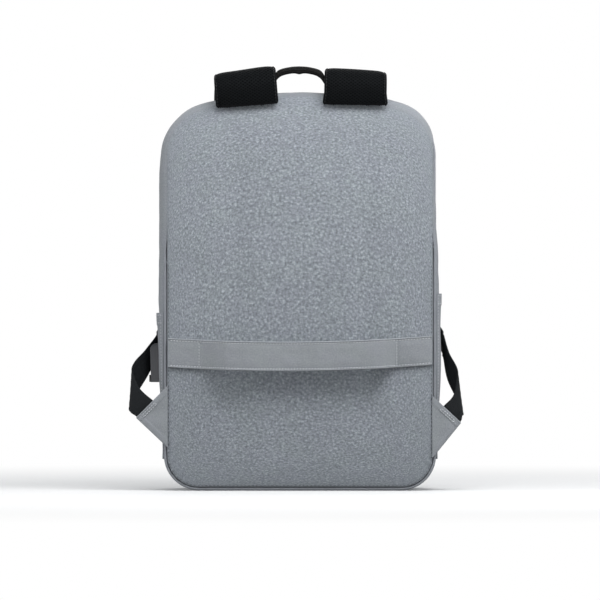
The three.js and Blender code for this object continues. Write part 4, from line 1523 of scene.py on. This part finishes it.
def strap_stations(side, steps=150):
    own = strap_own[side]
    sign = side_signs[side]
    points = []
    hints = []
    for aside, depth, start, up, tilt in strap_route:
        low, high = (own["root"], strap_crest_height) if start == "root" else (strap_end_height, own["root"])
        reach = strap_rise if depth < 0 else strap_rest
        leaning = own["lean"] * (1 - min(1, up)) if depth < 0 else 0
        x = own["centre"] + leaning + sign * strap_end_offset * aside
        points.append(Vector((x, depth * reach, mix(low, high, up))))
        hints.append(Vector((1, 0, sign * tilt * own["tilt"] / strap_width)))
    points.insert(-1, points[-1] - strap_end_straight * lock_along(side))
    hints.append(hints[-1])
    return stations_on(Route(points), Route(hints), steps)


strap_paths = {side: strap_stations(side) for side in side_signs}
print("strap lengths:", {side: round(length_of(path)) for side, path in strap_paths.items()})

# %% [markdown]
# A shoulder strap is foam between two faces of mesh, with a tape bound round its edge. The foam is
# fullest in the middle and pinched at the tape. Its ring of points is a flat oval: the grid runs once
# round the strap and along it, and is welded where it meets itself.

# %% Shoulder straps
strap_width_share = curve_through([
    (0, 0.985), (0.03, 0.985), (0.12, 0.985), (0.7, 0.95), (0.9, 0.86), (0.97, 0.66), (1, 0.48)])
strap_full_share = curve_through([
    (0, 0.5), (0.03, 0.8), (0.12, 1), (0.7, 1), (0.9, 1), (0.97, 0.8), (1, 0.5)])
strap_squareness = 0.55
flare_reach = 0.08
edge_tape = 2.4
tape_lift = 0.3
tape_inset = 0.012
tape_end_inset = 0.002
tape_turn = 0.3
tape_steps = 110
tape_end_steps = 16
loop_pitch = 2.35


def strap_half(side, share):
    flare = 1 + strap_own[side]["flare"] * max(0, 1 - share / flare_reach)
    return strap_width_share(share) * strap_width / 2 * flare, strap_full_share(share) * strap_thickness / 2


def strap_swell(across):
    """How thick the strap is at a share of its half width: full, then rounded off near the edge."""
    edge = strap_edge_thickness / strap_thickness
    return mix(edge, 1, math.sqrt(max(0, 1 - abs(across) ** strap_roundness)))


def strap_section(side, share, turn):
    """A point of the strap's section: turn 0 is the right edge, a quarter turn the outer face."""
    point, width, normal = between(strap_paths[side], share)
    half_width, half_full = strap_half(side, share)
    across = bent(math.cos(turn), strap_squareness)
    up = math.copysign(min(1, abs(math.sin(turn)) * 2.6) ** 0.5, math.sin(turn)) * strap_swell(across)
    return point + width * across * half_width + normal * up * half_full


def strap_pad(side):
    path = strap_paths[side]
    length = length_of(path)

    def place(u, v):
        closing = min(1, min(v, 1 - v) / 0.006)
        turn = 2 * math.pi * (u if u < 1 else 0)
        on_ring = strap_section(side, v, turn)
        middle, _, normal = between(path, v)
        dents = 0.35 * ripple(tuple(on_ring), 30, 31) * abs(math.sin(turn))
        end = math.sqrt(1 - (1 - closing) ** 2)
        return middle + (on_ring - middle) * mix(0.55, 1, end) + normal * dents

    def flat_place(u, v):
        """The mesh runs straight across both faces, so its holes stay one size."""
        half_width = strap_half(side, v)[0]
        reach = half_width + half_width * bent(math.cos(2 * math.pi * u), strap_squareness)
        return (reach if u <= 0.5 else -reach), v * length

    shape = cloth_grid(64, 170, (1, 1), place, joined=True, flat_place=flat_place)
    close_up(shape)
    pad = set_down(shape, "strap_pad_" + side, strap_mesh, ["shoulder_strap_" + side])
    return pad


def tape_round_edge(side):
    """The tape goes down one edge, round the end and up the other, folded over the foam."""
    path = strap_paths[side]
    edge = [mix(tape_inset, 1 - tape_inset, step / tape_steps) for step in range(tape_steps + 1)]
    back = [mix(1 - tape_inset, tape_inset, step / tape_steps) for step in range(tape_steps + 1)]
    end = [math.cos(math.pi * step / tape_end_steps) for step in range(1, tape_end_steps)]
    outline = [(share, 1) for share in edge] + [(1 - tape_end_inset, across) for across in end]
    outline += [(share, -1) for share in back] + [(tape_end_inset, -across) for across in end]

    def place(u, v):
        position = v * len(outline)
        index = int(position) % len(outline)
        after = (index + 1) % len(outline)
        part = position - int(position)
        share = mix(outline[index][0], outline[after][0], part)
        across = mix(outline[index][1], outline[after][1], part)
        point, width, normal = between(path, share)
        half_width, half_full = strap_half(side, share)
        fold = 2 * u - 1
        inward = edge_tape * max(0, (abs(fold) - tape_turn) / (1 - tape_turn))
        proud = tape_lift * (1 - min(1, abs(fold) / tape_turn) ** 2)
        if abs(across) > 0.999:
            sideways = math.copysign(half_width - inward, across)
            beyond = math.copysign(proud, across)
            lengthways = 0
        else:
            sideways = across * (half_width - inward * abs(across))
            beyond = 0
            lengthways = (proud - inward) * (1 if share > 0.5 else -1)
        swell = strap_swell(min(1, abs(sideways) / half_width))
        rise = math.copysign(min(1, abs(fold) / tape_turn), fold) * (swell * half_full + tape_lift)
        sideways += beyond
        return point + width * sideways + normal * rise + width.cross(normal) * lengthways

    run = 2 * length_of(path) + 2 * strap_width
    shape = cloth_grid(14, len(outline), (2 * edge_tape + 6, run), place, joined=True, outward_from=None)
    bmesh.ops.recalc_face_normals(shape, faces=shape.faces)
    return set_down(shape, "strap_tape_" + side, strap_edge, wall=0.5, offset=0, even=False)


def strap_sewing(side):
    """Lines for a row of stitches along each edge's tape, on both faces."""
    path = strap_paths[side]
    lines = []
    for across in (-1, 1):
        for face in (1, -1):
            line = []
            for step in range(241):
                share = mix(0.01, 0.985, step / 240)
                point, width, normal = between(path, share)
                half_width, half_full = strap_half(side, share)
                sideways = across * (half_width - edge_tape + 0.7)
                swell = strap_swell(sideways / half_width)
                line.append(point + width * sideways + normal * face * (swell * half_full + tape_lift + 0.35))
            lines.append(line)
    return lines


def root_loops(side):
    """The cut loops of the mesh, which show as a fine fringe under the seam that holds the strap."""
    point, width, normal = strap_paths[side][0]
    forward = width.cross(normal)
    half_width, half_full = strap_half(side, 0)
    count = round(2 * half_width / loop_pitch)
    places = []
    for index in range(count):
        across = 2 * (index + 0.5) / count - 1
        reach = 0.5 * ripple((index * 3.7, 0, 0), 4, 51)
        spot = point + width * across * (half_width - 1) + normal * half_full * 0.3 + forward * reach
        places.append(frame_at(spot, forward, normal))
    return repeated(grain_of_thread(3.4, 1.9), places, "strap_fringe_" + side, strap_edge)


for side in side_signs:
    pad = strap_pad(side)
    tape_piece = tape_round_edge(side)
    path = strap_paths[side]

    def off_strap(point, path=path):
        nearest = min(path[::3], key=lambda station: (station[0] - point).length_squared)
        toward = (point - nearest[0]).dot(nearest[2])
        return nearest[2] if toward > 0 else -nearest[2]

    stitches(
        "strap_stitches_" + side, strap_sewing(side), off_strap, black_thread,
        pitch=3.6, length=2.4, width=0.5)
    root_loops(side)
    print("strap", side, len(pad.data.polygons), len(tape_piece.data.polygons))

# %% [markdown]
# Each strap ends in a loop of webbing round the first bar of a ladder lock. The long webbing comes round
# the lock's last bar and runs down the side of the bag to a cloth tab. Webbing is one closed ring run
# along its route, with its ribs lifted as geometry, because they show at the edge where it folds.

# %% Adjusters
webbing_width = 25
webbing_thickness = 1.6
rib_count = 6
lock_width = 34
lock_length = 27
lock_thickness = 3.6
lock_bar = 3.6
grip_ribs = 5
grip_rib_pitch = 1.1
loop_length = 15
tail_length = 30
lock_start = loop_length - lock_bar
bar_clearance = math.hypot(lock_bar, lock_thickness) / 2 + 1.5 * gap + webbing_thickness / 2


def lock_frame(side):
    """A function from along, across and off the front to a place on the bag, in millimetres."""
    own = strap_own[side]
    sign = side_signs[side]
    along = lock_along(side)
    across = Vector((sign * math.cos(lock_turn), 0, math.sin(lock_turn)))
    origin = Vector((own["centre"] + sign * strap_end_offset, strap_rest, strap_end_height))

    def place(a, b, c):
        return origin + along * a + across * b + Vector((0, c, 0))
    return place, along, across


def lock_piece(side):
    """A frame with two slots and three bars, and a raised ribbed grip on its last bar."""
    place, along, across = lock_frame(side)
    slot_length = (lock_length - 3 * lock_bar) / 2
    rail = (lock_width - webbing_width - 4 * gap) / 2
    shape = bmesh.new()
    for sign in (-1, 1):
        centre = (lock_length / 2, sign * (lock_width - rail) / 2, 0)
        rounded_box(shape, (lock_length, rail, lock_thickness), centre, 1.2)
    for index in range(3):
        start = index * (lock_bar + slot_length) + lock_bar / 2
        rounded_box(shape, (lock_bar, lock_width - rail, lock_thickness * 0.86), (start, 0, 0), 1.1)
    grip_size = (lock_bar * 1.5, lock_width - 2, lock_thickness * 0.8)
    rounded_box(shape, grip_size, (lock_length - lock_bar * 0.7, 0, lock_thickness * 0.35), 1.1)
    for step in range(grip_ribs):
        centre = (lock_length - lock_bar * 1.3 + grip_rib_pitch * step, 0, lock_thickness * 0.78)
        rounded_box(shape, (0.8, lock_width * 0.55, 0.6), centre, 0.2, 1)
    matrix = Matrix((along, across, Vector((0, 1, 0)))).transposed().to_4x4()
    matrix = Matrix.Translation(place(lock_start, 0, 0) * MM) @ matrix
    bmesh.ops.transform(shape, matrix=matrix, verts=shape.verts)
    if matrix.determinant() < 0:
        bmesh.ops.reverse_faces(shape, faces=shape.faces)
    node = "ladder_lock_" + side
    return set_down(shape, "adjuster_" + side, buckle_plastic, [node], crease=40)


def webbing_grid(stations, name, node, steps_across=36):
    """Webbing along stations whose second vector reaches from its middle to its edge: both faces in
    one closed ring, with its ribs raised."""
    length = length_of(stations)
    rows = max(12, round(length / 1.6))

    def place(u, v):
        point, width, normal = between(stations, v)
        normal = normal.normalized()
        turn = 2 * math.pi * (u if u < 1 else 0)
        across = bent(math.cos(turn), 0.8)
        face = math.sin(turn)
        edge = min(1, (1 - abs(across)) / 0.05)
        rib = 0.5 + 0.5 * math.cos(across * math.pi * rib_count)
        rise = math.copysign(min(1, abs(face) * 3), face) * webbing_thickness / 2 * mix(0.5, 1, edge)
        rise *= mix(0.72, 1.0, rib)
        return point + width * across + normal * rise

    shape = cloth_grid(2 * steps_across, rows, (2 * webbing_width, length), place, joined=True)
    close_up(shape)
    return set_down(shape, name, webbing, [node], crease=70)


def flat_stations(points, across):
    stations = []
    for index, point in enumerate(points):
        along = (points[min(len(points) - 1, index + 1)] - points[max(0, index - 1)]).normalized()
        stations.append((point, across, along.cross(across).normalized()))
    return stations


def slanted_stations(route, reaches, steps):
    """Stations whose width needn't be square to the route, as where webbing folds on a slant."""
    stations = []
    for step in range(steps + 1):
        share = step / steps
        reach = reaches.at(share)
        stations.append((route.at(share), reach, route.along(share).cross(reach).normalized()))
    return stations


def smooth_line(points, steps):
    route = Route(points)
    return [route.at(step / steps) for step in range(steps + 1)]


def hairpin(place, bar_along, opening, run_start, run_end):
    bend = [
        (bar_along - opening * bar_clearance * math.cos(math.radians(angle)),
         bar_clearance * math.sin(math.radians(angle)))
        for angle in (75, 45, 15, -15, -45, -75)]
    rows = [(run_start, bar_clearance), *bend, (run_end, -bar_clearance)]
    return [place(along, 0, off) for along, off in rows]


def strap_loop(side):
    place, _, across = lock_frame(side)
    points = smooth_line(hairpin(place, lock_start + lock_bar / 2, -1, 2 * gap, 2 * gap), 40)
    stations = flat_stations(points, across * webbing_width / 2)
    return webbing_grid(stations, "lock_loop_" + side, "strap_loop_" + side)


for side in side_signs:
    lock_piece(side)
    strap_loop(side)
print("adjusters:", list(side_signs))

# %% [markdown]
# The long webbing folds outwards past the side of the bag before it reaches its tab, so a wearer sees
# its shaded inner face above the fold and its lit outer face below it.

# %% Long webbing
tab_thickness = 2.4
tab_own = {
    "left": {"reach": 33.5, "top": 114.5, "point": 78.8, "bottom": 45.4},
    "right": {"reach": 30.4, "top": 103.7, "point": 73.4, "bottom": 33.5},
}
webbing_emerges = 0.362
webbing_from_tip = 1.2
webbing_tucked_in = 7
webbing_bends = {
    "left": {
        "middle": (166.5, -28, 138, 1.5, 13.8), "fold": (183.0, -46, 111, -1.2, 20.7),
        "turned": (178.3, -54, 97.5, -5.0, 13.0)},
    "right": {
        "middle": (161.0, -28, 134, 0.3, 15.7), "fold": (173.3, -46, 106, -2.7, 22.0),
        "turned": (170.6, -54, 91.5, -5.0, 11.0)},
}
pocket_reach = seam_half_width + wall_bulge + 2 * gap + cloth_wall + pocket_fullness / 2
side_reach = pocket_reach + 4 * gap + webbing_thickness / 2
tab_plane = -(piping_depth + piping_radius + gap + tab_thickness / 2)


def tab_edge(side):
    """The middle of the tab's upper edge, a place inside it, and the way that the edge runs."""
    own = tab_own[side]
    root = seam_half_width + gap
    top = Vector((root, own["top"]))
    tip = Vector((root + own["reach"], own["point"]))
    run = (tip - top).normalized()
    inward = Vector((run.y, -run.x))
    middle = tip - run * (webbing_width / 2 + webbing_from_tip)
    return middle, middle + inward * webbing_tucked_in, run


def webbing_stations(side):
    sign = side_signs[side]
    place, _, across = lock_frame(side)
    middle, inner, run = tab_edge(side)
    start = place(lock_start + lock_length + lock_bar, 0, -bar_clearance)
    emerges = webbing_emerges * body_height
    half = webbing_width / 2

    def on_side(depth, up, reach=0.0):
        return Vector((sign * (side_reach - reach), depth * half_depth, mix(emerges, start.z, up)))

    def bend(name):
        out, forward, height, lean, rise = webbing_bends[side][name]
        return Vector((sign * out, forward, height)), Vector((sign * lean, 0, rise))

    upright = Vector((0, 0, half))
    at_tab = Vector((-sign * run.x, 0, -run.y)) * half
    behind_tab = tab_plane + tab_thickness / 2 + gap
    rows = [
        (start, across * half),
        (on_side(1.22, 0.56, 22), Vector((sign * 4, 0, half))),
        (on_side(1.08, 0.26, 5.5), upright),
        (on_side(0.78, 0.1), upright),
        (on_side(0.3, 0.02), upright),
        (on_side(-0.06, -0.03, -0.6), upright),
        bend("middle"),
        bend("fold"),
        bend("turned"),
        (Vector((sign * middle.x, behind_tab + webbing_thickness, middle.y)), at_tab),
        (Vector((sign * inner.x, behind_tab + webbing_thickness / 2, inner.y)), at_tab)]
    route = slanted_stations(Route([row[0] for row in rows]), Route([row[1] for row in rows]), 190)
    last_bar = lock_start + lock_length - lock_bar / 2
    bent = smooth_line(
        hairpin(place, last_bar, 1, last_bar + tail_length, lock_start + lock_length), 50)
    return flat_stations(bent, across * half) + route


for side in side_signs:
    piece = webbing_grid(webbing_stations(side), "long_webbing_" + side, "strap_webbing_" + side)
    print("webbing", side, len(piece.data.polygons))

# %% [markdown]
# A tab is a triangle of the trim cloth, folded double, with its upper edge turned over the webbing's end
# and sewn with two rows. A grid is laid over both faces between three corners, and thins to nothing at
# the edges, where the two faces are welded.

# %% Webbing tabs
tab_roll = 1.1
tab_rows = (3.1, 5.6)
tab_root_inset = 1.5
tab_starts = 0.03
tab_covers = 0.955


def tab_corners(side):
    own = tab_own[side]
    sign = side_signs[side]
    root = seam_half_width - tab_root_inset
    tip = seam_half_width + gap + own["reach"]
    places = ((root, own["top"]), (tip, own["point"]), (root, own["bottom"]))
    return [Vector((sign * x, 0, z)) for x, z in places]


def tab_surface(side, edge_share, depth_share):
    """A place on the tab: along its upper edge from the bag, and down from that edge."""
    top, tip, bottom = tab_corners(side)
    on_edge = top.lerp(tip, edge_share)
    on_bottom = bottom.lerp(tip, edge_share)
    return on_edge.lerp(on_bottom, depth_share)


def tab_piece(side):
    top, tip, bottom = tab_corners(side)
    edge_length = (tip - top).length
    height = (top - bottom).length

    def place(u, v):
        around = 0.5 - 0.5 * math.cos(2 * math.pi * v)
        outer = -1 if v <= 0.5 else 1
        share = tab_starts + tab_covers * u
        spot = tab_surface(side, share, around)
        local = height * (1 - share)
        from_edge = around * local
        to_edge = min(from_edge, local - from_edge)
        hem = 0.6 * (1 - smooth(from_edge, 8.2, 9.2)) + 0.35 * smooth(from_edge, local - 8.6, local - 7.8)
        closing = math.sqrt(1 - (1 - min(1, to_edge / tab_roll)) ** 2)
        sewn = smooth(share, 0.42, 0.5)
        groove = 0.3 * sewn * sum(math.exp(-((from_edge - inset) / 0.7) ** 2) for inset in tab_rows)
        full = tab_thickness / 2 - 0.5 + (hem - groove if outer < 0 else 0)
        wave = 0.5 * ripple((spot.x, 0, spot.z), 18, 41)
        return spot.x, tab_plane + outer * full * closing + wave * smooth(to_edge, 0, 4), spot.z

    shape = cloth_grid(46, 84, (edge_length, 2 * height), place, outward_from=None)
    close_up(shape, weld=0.05)
    return set_down(shape, "tab_" + side, trim_cloth, ["webbing_tab_" + side])


def tab_stitches(side):
    top, tip, _ = tab_corners(side)
    run = (tip - top).normalized()
    down = Vector((run.z, 0, -run.x)) * (1 if side == "right" else -1)
    length = (tip - top).length

    def sewn(along, inset):
        spot = top + run * along + down * inset
        return Vector((spot.x, tab_plane - tab_thickness / 2 - 0.3, spot.z))

    first, last = length - webbing_width - 1, length - 7
    lines = [[sewn(mix(first, last, step / 20), inset) for step in range(21)] for inset in tab_rows]
    lines += [[sewn(along, mix(*tab_rows, step / 4)) for step in range(5)] for along in (first, last)]
    return stitches(
        "tab_stitches_" + side, lines, off_the_back, pale_thread, pitch=3.2, length=2.3, width=0.75)


for side in side_signs:
    tab_piece(side)
    tab_stitches(side)
print("tabs:", list(side_signs))

# %% [markdown]
# The grab handle is webbing rolled into a soft tube between its two flat ends. The grid runs round it
# and along it, thin at the ends and full in the middle, with faint ribs along the roll.

# %% Grab handle
handle_top = 459
handle_half_span = 60
handle_thickness = 8.4
handle_end_thickness = 2.4
handle_width = 17
handle_depth = -42
handle_aside = -0.8
handle_around = 46
handle_rib = 0.05
handle_rib_count = 12
handle_roll = {"starts": 0.36, "ends": 0.6, "narrows": 0.86, "flat_power": 0.45, "round_power": 0.85}
handle_drop = curve_through([
    (0, 0), (0.1, 0.012), (0.22, 0.06), (0.34, 0.15), (0.42, 0.36), (0.5, 0.68), (0.6, 0.8), (0.7, 0.92),
    (0.8, 0.97), (1, 1)])
handle_full = curve_through([
    (0, 1), (0.1, 0.86), (0.22, 0.84), (0.34, 0.84), (0.42, 0.64), (0.5, 0.46), (0.6, 0.42), (0.7, 0.36),
    (0.8, 0.3), (1, 0.286)])


def handle_stations(steps=120):
    points = []
    for step in range(steps + 1):
        share = 2 * step / steps - 1
        x = handle_aside + share * handle_half_span
        thickness = handle_full(abs(share)) * handle_thickness
        ground = arch_centre + math.sqrt((top_arch_radius + bulge_at(body_height)) ** 2 - x ** 2) + gap
        crest = handle_top - thickness / 2
        z = mix(crest, ground + handle_end_thickness / 2, handle_drop(abs(share)))
        points.append(Vector((x, handle_depth, z)))
    return flat_stations(points, Vector((0, 1, 0)))


def handle_piece():
    path = handle_stations()
    length = length_of(path)

    def place(u, v):
        point, width, normal = between(path, v)
        share = abs(2 * v - 1)
        half = handle_full(share) * handle_thickness / 2
        turn = 2 * math.pi * (u if u < 1 else 0)
        rolled = 1 - smooth(share, handle_roll["starts"], handle_roll["ends"])
        half_width = mix(handle_width / 2, handle_width / 2 * handle_roll["narrows"], rolled)
        power = mix(handle_roll["flat_power"], handle_roll["round_power"], rolled)
        across = bent(math.cos(turn), power)
        up = bent(math.sin(turn), power)
        rib = 1 + handle_rib * rolled * math.cos(turn * handle_rib_count)
        return point + width * across * half_width * rib + normal * up * half * rib

    shape = cloth_grid(64, 170, (handle_around, length), place, joined=True)
    close_up(shape)
    return set_down(shape, "rolled_handle", handle_webbing, ["grab_handle"], crease=70)


handle = handle_piece()
print("handle faces:", len(handle.data.polygons))
